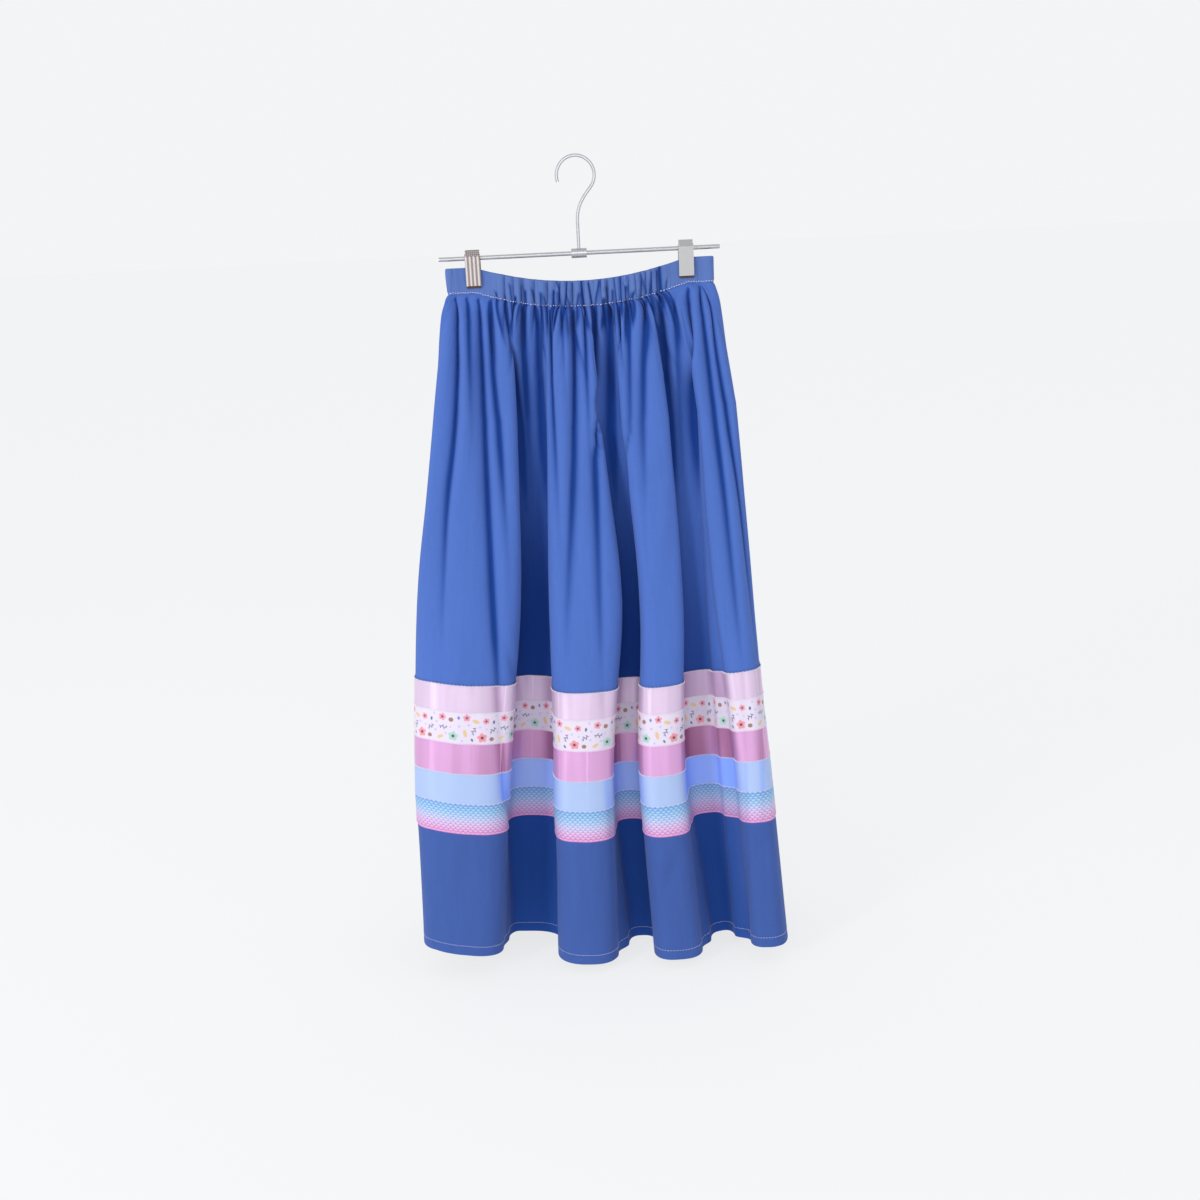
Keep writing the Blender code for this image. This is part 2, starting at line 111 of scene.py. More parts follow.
FRONT_TUCKS = table(
    "left right",
    ((4, 5, 3, -6), (5, 6, 6, 5)),
    ((4, 6, 4, -14), (5, 6, 6, 5)),
    ((3, 6, 2, -12), (0, -8, -16, -18)),
)
BACK_TUCKS = table(
    "left right",
    ((0, -6, -12, -16), (4, 6, 3, -8)),
    ((4, 6, 6, 4), (4, 5, 3, -10)),
    ((4, 6, 5, 4), (3, 4, 2, -8)),
)
CRESTS = (30, 62, 84, 98)
END_ROUND, EDGE_ROUND = 0.42, 0.40  # how far the skirt's ends and the pipes' edges are rounded
NECK = 0.68                         # share of a valley's depth where its floor begins
SQUARENESS = 0.8                    # under 1 makes the rounds squarer
SIDE_DENT = (4, 9, 13, 15)
FULL_DARK = 0.062           # a valley this deep takes the cloth's darkest painted shade
FINE_STEPS = (24, 14, 10)   # samples of a side, a quarter round and a flank

# Ribbons: the drops of their visible edges
RIBBONS = table(
    "name top foot",
    ("ribbon_1_pale_pink", 0.4880, 0.5210),
    ("ribbon_2_floral", 0.5210, 0.5600),
    ("ribbon_3_rose", 0.5600, 0.5985),
    ("ribbon_4_sky_blue", 0.5985, 0.6370),
    ("ribbon_5_scale", 0.6370, 0.6770),
)

# ---------------------------------------------------------------- the cloth's grid
COLUMNS = 800               # round the whole skirt
CLOTH_SHELL = 0.0007        # thickness of the cotton
RIBBON_LIFT = 0.0010        # a ribbon's inner face above the cloth's middle
RIBBON_SHELL = 0.0004
PLEAT_PITCH = 0.0080        # of the fine pleats in the casing
PLEAT_DEPTH = 0.0054
PLEATS_END = 0.12           # the drop below which no pleat shows
PUCKER_PITCH = 0.0062       # of the sharp creases just under the casing
PUCKER_DEPTH = 0.0030
PUCKER_SIDES = (0.0011, 0.0031)     # how wide a crease is on its steep and its easy side
CRACK_RUN = 0.35 * PINCH_RUN        # over which those creases fade out beside a clip

# ---------------------------------------------------------------- gathers and small folds
GATHER_DROPS = (0.030, 0.045, 0.110, 0.187, 0.274, 0.395, 0.480)
SWELL = (0.8, 2.4, 2.6, 2.0, 1.2, 0.7, 0.2)     # mm that the cloth stands out between gathers,
                                                # at those drops
DEEPENED = ((0.030, 0.060, 0.280, 0.480), (2.1, 1.75, 1.45, 1.2))   # drops, and times as deep
EASY_SIDE, STEEP_SIDE = 1.75, 0.85      # times a gather's width, on its two sides
FULL_CREASE = 0.0070        # a gather this deep takes the darkest painted shade
ROOM_SHARE = 0.72           # of the space inside, taken by the gathers at most
SPREAD = 0.55               # under 1 makes the skirt spread sooner below the casing
TUCK_SHADE, CRACK_SHADE = 0.6, 1.20       # painted shade in the casing's tucks and in the sharp creases

# Gathers of the front, in mm. x is where each valley runs and depth how deep it is, both at the
# drops of GATHER_DROPS. The width is measured along the cloth.
FRONT_GATHERS = table(
    "x depth width",
    ((-148, -147, -150, -158, -174, -186, -192), (3, 6, 8, 6, 4, 2, 0), 8),
    ((-134, -134, -136, -138, -150, -160, -165), (2, 4, 3, 1, 0, 0, 0), 9),
    ((-120, -120, -121, -122, -123, -124, -124), (2, 6, 8, 8, 8, 7, 3), 8),
    ((-106, -107, -108, -104, -104, -104, -104), (2, 6, 8, 5, 2, 0, 0), 9),
    ((-89, -87, -82, -80, -80, -80, -80), (2, 5, 8, 5, 0, 0, 0), 9),
    ((-70, -70, -72, -72, -72, -72, -72), (2, 5, 4, 1, 0, 0, 0), 8),
    ((-53, -53, -53, -54, -54, -54, -54), (2, 5, 8, 4, 0, 0, 0), 9),
    ((-38, -39, -40, -40, -40, -40, -40), (2, 4, 4, 3, 1, 0, 0), 8),
    ((-24, -24, -24, -24, -24, -24, -24), (1, 3, 1, 0, 0, 0, 0), 7),
    ((-10, -11, -13, -17, -25, -37, -42), (3, 7, 8, 6, 4, 2, 0), 8),
    ((5, 5, 3, 2, 2, 2, 2), (2, 5, 3, 1, 0, 0, 0), 7),
    ((16, 16, 14, 10, 7, 4, 3), (2, 5, 7, 6, 4, 3, 1), 8),
    ((33, 33, 32, 30, 30, 30, 30), (3, 8, 9, 4, 0, 0, 0), 10),
    ((44, 43, 41, 40, 40, 40, 40), (1, 4, 2, 0, 0, 0, 0), 6),
    ((56, 55, 53, 50, 50, 50, 50), (2, 4, 3, 2, 0, 0, 0), 8),
    ((77, 75, 70, 66, 64, 64, 64), (2, 4, 4, 3, 1, 0, 0), 9),
    ((92, 95, 97, 101, 104, 104, 104), (3, 7, 8, 5, 0, 0, 0), 9),
    ((109, 110, 111, 112, 112, 112, 112), (0, 2, 2, 1, 0, 0, 0), 8),
    ((125, 126, 127, 129, 131, 131, 131), (1, 6, 8, 5, 0, 0, 0), 9),
    ((139, 141, 146, 152, 160, 168, 174), (2, 5, 6, 5, 4, 3, 1), 7),
    ((150, 152, 158, 168, 179, 189, 195), (1, 3, 5, 5, 4, 3, 1), 7),
)
# Gathers of the back, each straight down the cloth from its place on the waist as seen from behind
BACK_GATHERS = table(
    "x depth width",
    (-146, (3, 6, 8, 7, 5, 3, 1), 10), (-127, (2, 6, 6, 4, 2, 0, 0), 9),
    (-112, (2, 5, 8, 8, 6, 5, 2), 8), (-93, (3, 7, 8, 5, 2, 1, 0), 10),
    (-78, (2, 4, 3, 1, 0, 0, 0), 8), (-60, (2, 6, 8, 8, 7, 5, 2), 9),
    (-41, (2, 5, 6, 3, 1, 0, 0), 9), (-27, (2, 4, 3, 2, 0, 0, 0), 7),
    (-8, (3, 7, 8, 7, 5, 2, 1), 10), (9, (2, 5, 5, 3, 1, 0, 0), 8),
    (24, (2, 6, 8, 8, 6, 5, 2), 8), (43, (2, 5, 4, 2, 0, 0, 0), 9),
    (61, (3, 7, 8, 6, 4, 2, 1), 10), (76, (2, 4, 5, 3, 1, 0, 0), 8),
    (95, (2, 6, 8, 8, 7, 5, 2), 9), (113, (2, 5, 5, 4, 2, 0, 0), 9),
    (131, (2, 6, 7, 5, 3, 2, 0), 9), (145, (2, 4, 6, 6, 5, 4, 2), 8),
)
# Small drag lines and puckers: x and drop of the middle, length, width and height in mm, slant
SMALL_FOLDS = table(
    "x drop long wide high slant",
    (69, 0.226, 22, 5.0, 2.2, 55), (74, 0.238, 16, 5.0, -1.8, 62),
    (84, 0.3, 46, 7.0, 1.4, 12), (-100, 0.468, 26, 6.0, 2.6, -18),
    (-106, 0.462, 28, 5.0, -2.2, -28), (14, 0.345, 17, 4.0, 1.8, -62),
    (22, 0.352, 15, 4.0, -1.6, -70), (20, 0.377, 15, 4.0, 1.5, -78),
    (-52, 0.11, 14, 4.0, 1.6, 40), (-85, 0.118, 16, 4.0, 1.8, -40),
    (-58, 0.699, 26, 6.0, -1.6, -30), (-40, 0.694, 22, 6.0, 1.2, 35),
    (66, 0.716, 34, 7.0, 1.7, 24), (76, 0.732, 38, 6.0, -1.6, 30),
    (92, 0.7, 24, 6.0, 1.3, -32), (182, 0.694, 26, 6.0, 1.7, 42),
    (192, 0.704, 24, 5.0, -1.5, 46), (-190, 0.706, 40, 9.0, 1.2, 10),
    (-160, 0.486, 5, 4.0, 1.6, 60),
)


def ease(t):
    """0 to 1, starting and ending softly."""
    t = np.clip(t, 0.0, 1.0)
    return t * t * (3 - 2 * t)


def at_drop(values_mm, drop):
    """A size that is given in mm at the stations, on a smooth curve through them, in metres."""
    x = np.array(STATIONS)
    y = np.array(values_mm, float) * MM
    slope = np.gradient(y, x)
    drop = min(max(drop, x[0]), x[-1])
    i = int(np.clip(np.searchsorted(x, drop) - 1, 0, len(x) - 2))
    h = x[i + 1] - x[i]
    t = (drop - x[i]) / h
    start = (2 * t**3 - 3 * t**2 + 1) * y[i] + (t**3 - 2 * t**2 + t) * h * slope[i]
    end = (3 * t**2 - 2 * t**3) * y[i + 1] + (t**3 - t**2) * h * slope[i + 1]
    return start + end


def quarter(t, power):
    """Sine and cosine of a quarter turn, flattened into a squarer round by a power under 1."""
    angle = t * math.pi / 2
    return np.sin(angle) ** power, np.clip(np.cos(angle), 0, 1) ** power


def half_section(pipes, valleys, tucks, drop):
    """One half of the skirt's outline at a drop: x, y and how deep each point lies in a fold, for
    painted shade.
    """
    crest_y = -at_drop(CRESTS, drop)
    outer = -crest_y * END_ROUND
    side, turn, flank = (np.arange(n) / n for n in FINE_STEPS)
    xs, ys, painted_shades = [], [], []

    def add(x, y, deep, dark=1.0):
        xs.append(x + 0 * y)
        ys.append(y + 0 * x)
        painted_shades.append(deep * dark + 0 * (x + y))

    left = at_drop(pipes[0]["left"], drop)
    edge_y = crest_y + outer
    dent = at_drop(SIDE_DENT, drop) * np.sin(math.pi * side) ** 2
    add(left + dent, -edge_y + 2 * edge_y * side, 0.25 * np.sin(math.pi * side))
    for k, pipe in enumerate(pipes):
        left, right = at_drop(pipe["left"], drop), at_drop(pipe["right"], drop)
        top = left + (right - left) * pipe["crest"]
        rise_left = at_drop(valleys[k - 1], drop) * EDGE_ROUND if k else outer
        rise_right = at_drop(valleys[k], drop) * EDGE_ROUND if k < len(valleys) else outer
        sine, cosine = quarter(turn, SQUARENESS)
        add(top - (top - left) * cosine, crest_y + rise_left * (1 - sine),
            (0.3 if k else 0.1) * (1 - sine))
        add(top + (right - top) * sine, crest_y + rise_right * (1 - cosine),
            (0.3 if k < len(valleys) else 0.1) * (1 - cosine))
        if k == len(valleys):
            break
        depth = at_drop(valleys[k], drop)
        next_left = at_drop(pipes[k + 1]["left"], drop)
        start = right - at_drop(tucks[k]["left"], drop)
        end = next_left + at_drop(tucks[k]["right"], drop)
        middle = (start + end) / 2
        # painted shade: the deeper the valley, the darker its cloth is painted
        dark = min(1.0, depth / FULL_DARK)
        y_edge, y_neck, y_floor = crest_y + rise_right, crest_y + NECK * depth, crest_y + depth
        add(right + (start - right) * ease(flank), y_edge + (y_neck - y_edge) * flank,
            0.3 + 0.5 * flank, dark)
        add(middle - (middle - start) * cosine, y_neck + (y_floor - y_neck) * sine,
            0.8 + 0.2 * sine, dark)
        add(middle + (end - middle) * sine, y_neck + (y_floor - y_neck) * cosine,
            0.8 + 0.2 * cosine, dark)
        add(end + (next_left - end) * ease(flank), y_neck + (y_edge - y_neck) * flank,
            0.8 - 0.5 * flank, dark)
    return np.concatenate(xs), np.concatenate(ys), np.concatenate(painted_shades)


def ring_section(drop):
    """The closed outline at a drop: the front half, then the back half turned round to meet it."""
    front = half_section(FRONT_PIPES, FRONT_VALLEYS, FRONT_TUCKS, drop)
    back = half_section(BACK_PIPES, BACK_VALLEYS, BACK_TUCKS, drop)
    return (np.concatenate([front[0], -back[0]]), np.concatenate([front[1], -back[1]]),
            np.concatenate([front[2], back[2]]))


def cloth_share():
    """Where each sample lies round the cloth, from 0 to 1, and the cloth's whole width."""
    x, y, _ = ring_section(RIBBON_LEVEL)
    lengths = np.hypot(np.roll(x, -1) - x, np.roll(y, -1) - y)
    return np.concatenate([[0.0], np.cumsum(lengths)[:-1]]) / lengths.sum(), lengths.sum()


SHARES, ROUND_WIDTH = cloth_share()
COLUMN_SHARES = np.arange(COLUMNS) / COLUMNS


def clear_of_clip(x, run):
    """0 in a clip and 1 away from it, changing softly over a run."""
    return ease((np.abs(np.abs(x) - CLIP_X) - PINCH_HALF) / run)


def waist_gap(x):
    """Half the space between the middles of the front and back walls, along the waist."""
    between = (WAIST_GAP - CLIP_GAP) * clear_of_clip(x, PINCH_RUN)
    past = (END_GAP - CLIP_GAP) * clear_of_clip(x, END_RUN)
    return CLIP_GAP + np.where(np.abs(x) > CLIP_X, past, between)


def waist_section():
    """The gathered waist: a flat loop with round ends, shared out evenly round the cloth."""
    half = len(SHARES) // 2
    middle = FINE_STEPS[0] // 2
    left_middle, right_middle = SHARES[middle], SHARES[half + middle]
    round_trip = np.interp(SHARES, [right_middle - 1, left_middle, right_middle, 1 + left_middle],
                           [-0.5, 0.0, 0.5, 1.0])
    straight = 2 * (WAIST_HALF - END_GAP)
    end = math.pi * END_GAP
    along = (round_trip % 1.0) * 2 * (straight + end)
    sign = np.where(along > straight + end, -1.0, 1.0)
    along = np.where(sign < 0, along - straight - end, along)
    run = np.clip(along - end / 2, 0, straight) - straight / 2
    turn = np.where(run > 0, along - end / 2 - straight, along - end / 2) / END_GAP
    turn = np.where((along > end / 2) & (along < end / 2 + straight), 0.0, turn)
    x = run + END_GAP * np.sin(turn)
    y = -np.where(turn == 0.0, waist_gap(run), END_GAP * np.cos(turn))
    return x * sign, y * sign


def on_columns(values):
    """A quantity on the section's samples, read off at the even columns."""
    return np.interp(COLUMN_SHARES, np.append(SHARES, 1.0), np.append(values, values[0]))


def outward(x, y):
    """The outward direction of a closed outline at each of its points."""
    tangent_x, tangent_y = np.roll(x, -1) - np.roll(x, 1), np.roll(y, -1) - np.roll(y, 1)
    size = np.maximum(np.hypot(tangent_x, tangent_y), 1e-9)
    return tangent_y / size, -tangent_x / size


def soft_noise(share, drop, seed, pitch_round, pitch_down):
    """Smooth value noise over the cloth, closed round it, from -1 to 1."""
    across = max(4, round(ROUND_WIDTH / pitch_round))
    down = int(LENGTH / pitch_down) + 3
    knots = np.random.default_rng(seed).uniform(-1, 1, (down, across))
    u, v = share * across, drop / pitch_down
    i, j = np.floor(v).astype(int), np.floor(u).astype(int)
    fv, fu = ease(v - i), ease(u - j)
    j0, j1 = j % across, (j + 1) % across
    upper = knots[i, j0] * (1 - fu) + knots[i, j1] * fu
    lower = knots[i + 1, j0] * (1 - fu) + knots[i + 1, j1] * fu
    return upper * (1 - fv) + lower * fv


def pleat_wave(waist_x, drop, seed):
    """Fine pleats of the casing, uneven in pitch, height and slant, from -1 to 1."""
    rng = np.random.default_rng(seed)
    count = int(2.4 * WAIST_HALF / PLEAT_PITCH)
    edges = np.cumsum(PLEAT_PITCH * rng.uniform(0.40, 1.60, count))
    edges -= edges.mean()
    heights = rng.uniform(0.35, 1.0, count)
    slants = rng.uniform(-0.13, 0.13, count)
    place = waist_x + (CASING_DROP - drop) * np.interp(waist_x, edges, slants)
    phase = np.interp(place, edges, np.arange(count))
    return (2 * np.abs(np.sin(math.pi * phase)) ** 1.1 - 1) * np.interp(place, edges, heights)


def smoothed(values, reach=3):
    """A running mean down the rows."""
    padded = np.pad(values, reach, mode="edge")
    return np.convolve(padded, np.ones(2 * reach + 1) / (2 * reach + 1), mode="valid")


def rows_between(top, foot, step):
    """Even rows from one drop to the next, the last left out."""
    count = max(1, round((foot - top) / step))
    return list(top + (foot - top) * np.arange(count) / count)


def all_rows():
    """The drops of the grid's rows, close together where the cloth is gathered."""
    rows = [0.0, 0.0004, 0.0010, 0.0018] + rows_between(0.0030, CASING_DROP, 0.0015)
    rows += rows_between(CASING_DROP, 0.060, 0.0025) + rows_between(0.060, 0.170, 0.0042)
    rows += rows_between(0.170, RIBBONS[0]["top"], 0.0095)
    for ribbon in RIBBONS:
        rows += rows_between(ribbon["top"], ribbon["foot"], 0.0080)
    rows += rows_between(RIBBONS[-1]["foot"], LENGTH - HEM_TURN, 0.0110)
    return np.array(rows + rows_between(LENGTH - HEM_TURN, LENGTH, 0.0042) + [LENGTH])


ROWS = all_rows()


def row_at(drop):
    """The number of the row at a drop."""
    return int(np.argmin(np.abs(ROWS - drop)))


class Cloth:
    """The draped cloth: places, outward directions and depth in the folds (its painted shade), by
    row and column.
    """

    def __init__(self, gather_scale):
        self.base()
        self.gather(gather_scale)
        self.directions()

    def base(self):
        """The pipe folds, the flat waist and what lies between them."""
        self.waist_x = on_columns(waist_section()[0])
        waist_y = on_columns(waist_section()[1])
        shape = (len(ROWS), COLUMNS)
        self.x, self.y, self.z = np.zeros(shape), np.zeros(shape), np.zeros(shape)
        self.depth = np.zeros(shape)
        sag = SAG * np.clip(1 - (self.waist_x / CLIP_X) ** 2, 0, 1)
        for r, drop in enumerate(ROWS):
            x, y, deep = (on_columns(v) for v in ring_section(max(drop, FLARE_DROP)))
            t = (drop - CASING_DROP) / (FLARE_DROP - CASING_DROP)
            spread = np.clip(t, 0, 1) ** SPREAD
            self.x[r] = self.waist_x + (x - self.waist_x) * spread
            self.y[r] = waist_y + (y - waist_y) * spread
            self.z[r] = WAIST_Z - drop - sag - HEM_TILT * self.x[r] * (drop / LENGTH) ** 2
            self.depth[r] = deep * spread

    def front_share(self, row, x):
        """The place round the cloth that is seen at x from the front, in a row."""
        half = COLUMNS // 2
        _, out_y = outward(self.x[row], self.y[row])
        seen = np.where(out_y[:half] < -0.25)[0]
        order = seen[np.argsort(self.x[row, seen])]
        return np.interp(x, self.x[row, order], COLUMN_SHARES[order])

    def track(self, gather, is_front):
        """Where a gather's valley lies round the cloth, row by row."""
        if is_front:
            xs = np.interp(ROWS, GATHER_DROPS, gather["x"]) * MM
            return smoothed(np.array([self.front_share(r, x) for r, x in enumerate(xs)]))
        back = slice(COLUMNS // 2 + 20, -20)
        at = np.interp(-gather["x"] * MM, self.waist_x[back][::-1], COLUMN_SHARES[back][::-1])
        return np.full(len(ROWS), at)

    def valleys(self, front, scale):
        """How far the gathers sink the cloth, as lengths below 0, and the painted shade of their
        creases.
        """
        boost = np.interp(ROWS, *DEEPENED)
        moved, crease_shade = np.zeros_like(self.x), np.zeros_like(self.x)
        for gathers, side in ((FRONT_GATHERS, front), (BACK_GATHERS, ~front)):
            for number, gather in enumerate(gathers):
                track = self.track(gather, gathers is FRONT_GATHERS)
                depth = np.interp(ROWS, GATHER_DROPS, gather["depth"])
                depth = (smoothed(depth) * boost * MM * scale)[:, None]
                off = (COLUMN_SHARES[None, :] - track[:, None] + 0.5) % 1.0 - 0.5
                steep = np.where((off > 0) == (number % 4 != 1), STEEP_SIDE, EASY_SIDE)
                off = np.abs(off) * ROUND_WIDTH / (gather["width"] * MM * steep)
                moved -= depth * np.exp(-off**1.4) * side
                # painted shade along each gather's crease, narrower than its valley
                crease = np.exp(-(off * np.minimum(steep, 1.1) * 1.9) ** 1.6)
                crease_shade += np.clip(depth / FULL_CREASE, 0, 1) * crease * side
        return moved, crease_shade

    def pleats(self, front, drop, clear):
        """How far the casing's fine pleats stand out, and the painted shade in their tucks."""
        wave = np.where(front, pleat_wave(self.waist_x[None, :], drop, 5),
                        pleat_wave(self.waist_x[None, :], drop, 6))
        height = PLEAT_DEPTH / 2 * (1 - 0.82 * ease((drop - CASING_DROP) / 0.050))
        height = height * (0.75 + 0.25 * ease(drop / 0.006)) * (drop < PLEATS_END)
        pinch = 1 - 0.45 * np.exp(-((drop - CASING_DROP + 0.001) / 0.0025) ** 2)
        # painted shade in each tuck, fading out below the casing
        dark = np.clip(-2.0 * wave - 0.3, 0, 1) * clear
        return wave * height * clear * pinch, dark * (1 - ease((drop - CASING_DROP) / 0.045))

    def cracks(self, front, drop):
        """The puckers of the front and the back, kept off the clips and the skirt's ends."""
        made = np.where(front, self.puckers(drop, 31), self.puckers(drop, 32))
        made = made * clear_of_clip(self.waist_x, CRACK_RUN)[None, :]
        return made * (np.abs(self.waist_x) < CLIP_X)[None, :]

    def gather(self, scale):
        """Lays gathers, casing pleats, drag lines and soft unevenness over the base, with their
        painted shade.
        """
        share, drop = COLUMN_SHARES[None, :], ROWS[:, None]
        front = share < 0.5
        below = ease((drop - CASING_DROP) / 0.005)
        moved, crease_shade = self.valleys(front, scale)
        moved += np.interp(ROWS, GATHER_DROPS, SWELL)[:, None] * MM * below
        opened = np.clip((ROWS - CASING_DROP) / (FLARE_DROP - CASING_DROP), 0, 1) ** SPREAD
        room = WAIST_GAP + (CRESTS[0] * MM - WAIST_GAP) * opened
        moved = np.maximum(moved, -ROOM_SHARE * room[:, None])
        clear = clear_of_clip(self.waist_x, PINCH_RUN) * (self.waist_x < CLIP_X)
        clear = clear[None, :]
        moved *= np.maximum(clear, ease((drop - CLIP_FOOT - 0.004) / 0.03))
        pleats, tuck_shade = self.pleats(front, drop, clear)
        cracks = self.cracks(front, drop)
        moved += pleats
        moved -= PUCKER_DEPTH * cracks
        rough = soft_noise(share, drop, 11, 0.060, 0.25) * 1.3
        rough = rough + soft_noise(share, drop, 12, 0.022, 0.090) * 0.75
        moved += rough * MM * ease((drop - 0.10) / 0.2)
        moved += self.seam_ripples(share, drop)
        moved += self.small_folds(share, drop)
        # painted shade: the folds' depth, the gathers' creases, the casing's tucks and the sharp
        # creases
        dark = self.depth + crease_shade * below + TUCK_SHADE * tuck_shade + CRACK_SHADE * cracks
        self.depth = np.clip(dark, 0, 1)
        for r in range(len(ROWS)):
            out_x, out_y = outward(self.x[r], self.y[r])
            self.x[r] += out_x * moved[r]
            self.y[r] += out_y * moved[r]

    def puckers(self, drop, seed):
        """Short sharp creases where the cloth is gathered into the casing, from 0 to 1. Each
        has one steep side and one easy side, and runs a little way up into the casing."""
        rng = np.random.default_rng(seed)
        total = np.zeros_like(self.x)
        place = -CLIP_X - PUCKER_PITCH
        while place < CLIP_X:
            place += PUCKER_PITCH * rng.uniform(0.45, 1.65)
            slant, reach = rng.uniform(-0.17, 0.17), rng.uniform(0.020, 0.100)
            rise, sharp = rng.uniform(0.010, 0.036), rng.uniform(0.55, 1.0)
            across = self.waist_x[None, :] - place - slant * (drop - CASING_DROP)
            steep = -1 if rng.uniform() < 0.7 else 1
            wide = np.where(across * steep > 0, *PUCKER_SIDES)
            run = ease((drop - CASING_DROP + rise) / 0.007)
            run = run * (1 - ease((drop - CASING_DROP - 0.25 * reach) / (0.75 * reach)))
            total = np.maximum(total, sharp * run * np.exp(-np.abs(across / wide) ** 1.3))
        return total

    def seam_ripples(self, share, drop):
        """Slight puckers where the ribbons and the hem are sewn down, and at the side seams."""
        lines = [RIBBONS[0]["top"]] + [ribbon["foot"] for ribbon in RIBBONS]
        near = sum(np.exp(-((drop - line) / 0.006) ** 2) for line in lines)
        ripples = 0.30 * MM * near * soft_noise(share, drop, 21, 0.009, 0.020)
        band = ease((drop - 0.480) / 0.02) * ease((0.690 - drop) / 0.02)
        ripples = ripples + 0.45 * MM * band * soft_noise(share, drop, 22, 0.018, 0.060)
        hem = np.exp(-((drop - LENGTH + HEM_TURN) / 0.010) ** 2)
        ripples = ripples + 0.35 * MM * hem * soft_noise(share, drop, 23, 0.012, 0.020)
        seam = np.minimum(np.minimum(share, 1 - share), np.abs(share - 0.5)) * ROUND_WIDTH
        return ripples - 0.9 * MM * np.exp(-(seam / 0.0035) ** 2) * ease(drop / 0.01)

    def small_folds(self, share, drop):
        """The drag lines and puckers of SMALL_FOLDS."""
        total = np.zeros_like(self.x)
        for fold in SMALL_FOLDS:
            at = self.front_share(row_at(fold["drop"]), fold["x"] * MM)
            u, v = (share - at) * ROUND_WIDTH, drop - fold["drop"]
            slant = math.radians(fold["slant"])
            along = -u * math.sin(slant) + v * math.cos(slant)
            across = u * math.cos(slant) + v * math.sin(slant)
            bump = np.exp(-(across / (fold["wide"] * MM)) ** 2 - (along / (fold["long"] * MM)) ** 2)
            total += fold["high"] * MM * bump
        return total

    def directions(self):
        """The outward directions of the finished cloth."""
        self.points = np.stack([self.x, self.y, self.z], axis=2)
        along = np.roll(self.points, -1, axis=1) - np.roll(self.points, 1, axis=1)
        down = np.gradient(self.points, axis=0)
        out = np.cross(down, along)
        self.out = out / np.maximum(np.linalg.norm(out, axis=2, keepdims=True), 1e-12)

    def at(self, share, drop, lift):
        """Places on the cloth at any share and drop, lifted off it, with the outward directions."""
        column = (np.asarray(share) % 1.0) * COLUMNS
        row = np.interp(drop, ROWS, np.arange(len(ROWS)))
        c0, r0 = np.floor(column).astype(int), np.minimum(np.floor(row).astype(int), len(ROWS) - 2)
        fc, fr = (column - c0)[:, None], (row - r0)[:, None]
        c0, c1 = c0 % COLUMNS, (c0 + 1) % COLUMNS

        def mixed(grid):
            upper = grid[r0, c0] * (1 - fc) + grid[r0, c1] * fc
            lower = grid[r0 + 1, c0] * (1 - fc) + grid[r0 + 1, c1] * fc
            return upper * (1 - fr) + lower * fr

        out = mixed(self.out)
        out /= np.linalg.norm(out, axis=1, keepdims=True)
        return mixed(self.points) + out * lift, out


CLOTH = {}


def cloth():
    """The draped cloth, worked out once."""
    if "made" not in CLOTH:
        CLOTH["made"] = Cloth(bpy.context.scene.ribbon_skirt.gather_depth)
    return CLOTH["made"]


def link(made):
    bpy.context.scene.collection.objects.link(made)
    return made


def shell_faces(wide, high):
    """The four-sided faces of a closed shell: its two sides, then its four rims."""
    back = wide * high
    r, c = np.meshgrid(np.arange(high - 1), np.arange(wide - 1), indexing="ij")
    a = (r * wide + c).ravel()
    b, d, e = a + 1, a + wide, a + wide + 1
    top = np.arange(wide - 1)
    low = (high - 1) * wide + top
    left = np.arange(high - 1) * wide
    right = left + wide - 1
    return np.concatenate([
        np.stack([a, d, e, b], 1),
        np.stack([a + back, b + back, e + back, d + back], 1),
        np.stack([top, top + 1, back + top + 1, back + top], 1),
        np.stack([low + 1, low, back + low, back + low + 1], 1),
        np.stack([left + wide, left, back + left, back + left + wide], 1),
        np.stack([right, right + wide, back + right + wide, back + right], 1),
    ])


def shell(name, half, rows, inner, outer, finish):
    """A closed shell over one half of the skirt, between two distances from the cloth's middle.
    inner and outer are numbers, or one number for each row. Its UV map is in metres of cloth."""
    drape = cloth()
    columns = np.array([(half * COLUMNS // 2 + i) % COLUMNS for i in range(COLUMNS // 2 + 1)])
    rows = np.array(rows)
    wide, high = len(columns), len(rows)
    points = drape.points[rows][:, columns]
    out = drape.out[rows][:, columns]
    layers = [points + out * (np.zeros(high) + offset)[:, None, None] for offset in (outer, inner)]
    vertices = np.concatenate([layer.reshape(-1, 3) for layer in layers])
    faces = shell_faces(wide, high)
    mesh = bpy.data.meshes.new(name)
    mesh.vertices.add(len(vertices))
    mesh.vertices.foreach_set("co", vertices.ravel())
    mesh.loops.add(faces.size)
    mesh.loops.foreach_set("vertex_index", faces.ravel())
    mesh.polygons.add(len(faces))
    mesh.polygons.foreach_set("loop_start", np.arange(len(faces)) * 4)
    mesh.update(calc_edges=True)
    mesh.validate()
    u = half * ROUND_WIDTH / 2 + np.arange(wide) * ROUND_WIDTH / COLUMNS
    uv = np.stack(np.broadcast_arrays(u[None, :], -ROWS[rows][:, None]), axis=2).reshape(-1, 2)
    uv = np.concatenate([uv, uv])
    layer = mesh.uv_layers.new(name="cloth")
    layer.data.foreach_set("uv", uv[faces.ravel()].ravel())
    # painted shade of the folds, kept as a point attribute; the inner side is painted at least half
    # shaded
    fold = mesh.attributes.new("painted_fold_shade", "FLOAT", "POINT")
    deep = drape.depth[rows][:, columns].ravel()
    fold.data.foreach_set("value", np.concatenate([deep, deep * 0.5 + 0.5]))
    mesh.materials.append(finish)
    mesh.shade_smooth()
    mesh.set_sharp_from_angle(angle=math.radians(60))
    return link(bpy.data.objects.new(name, mesh))


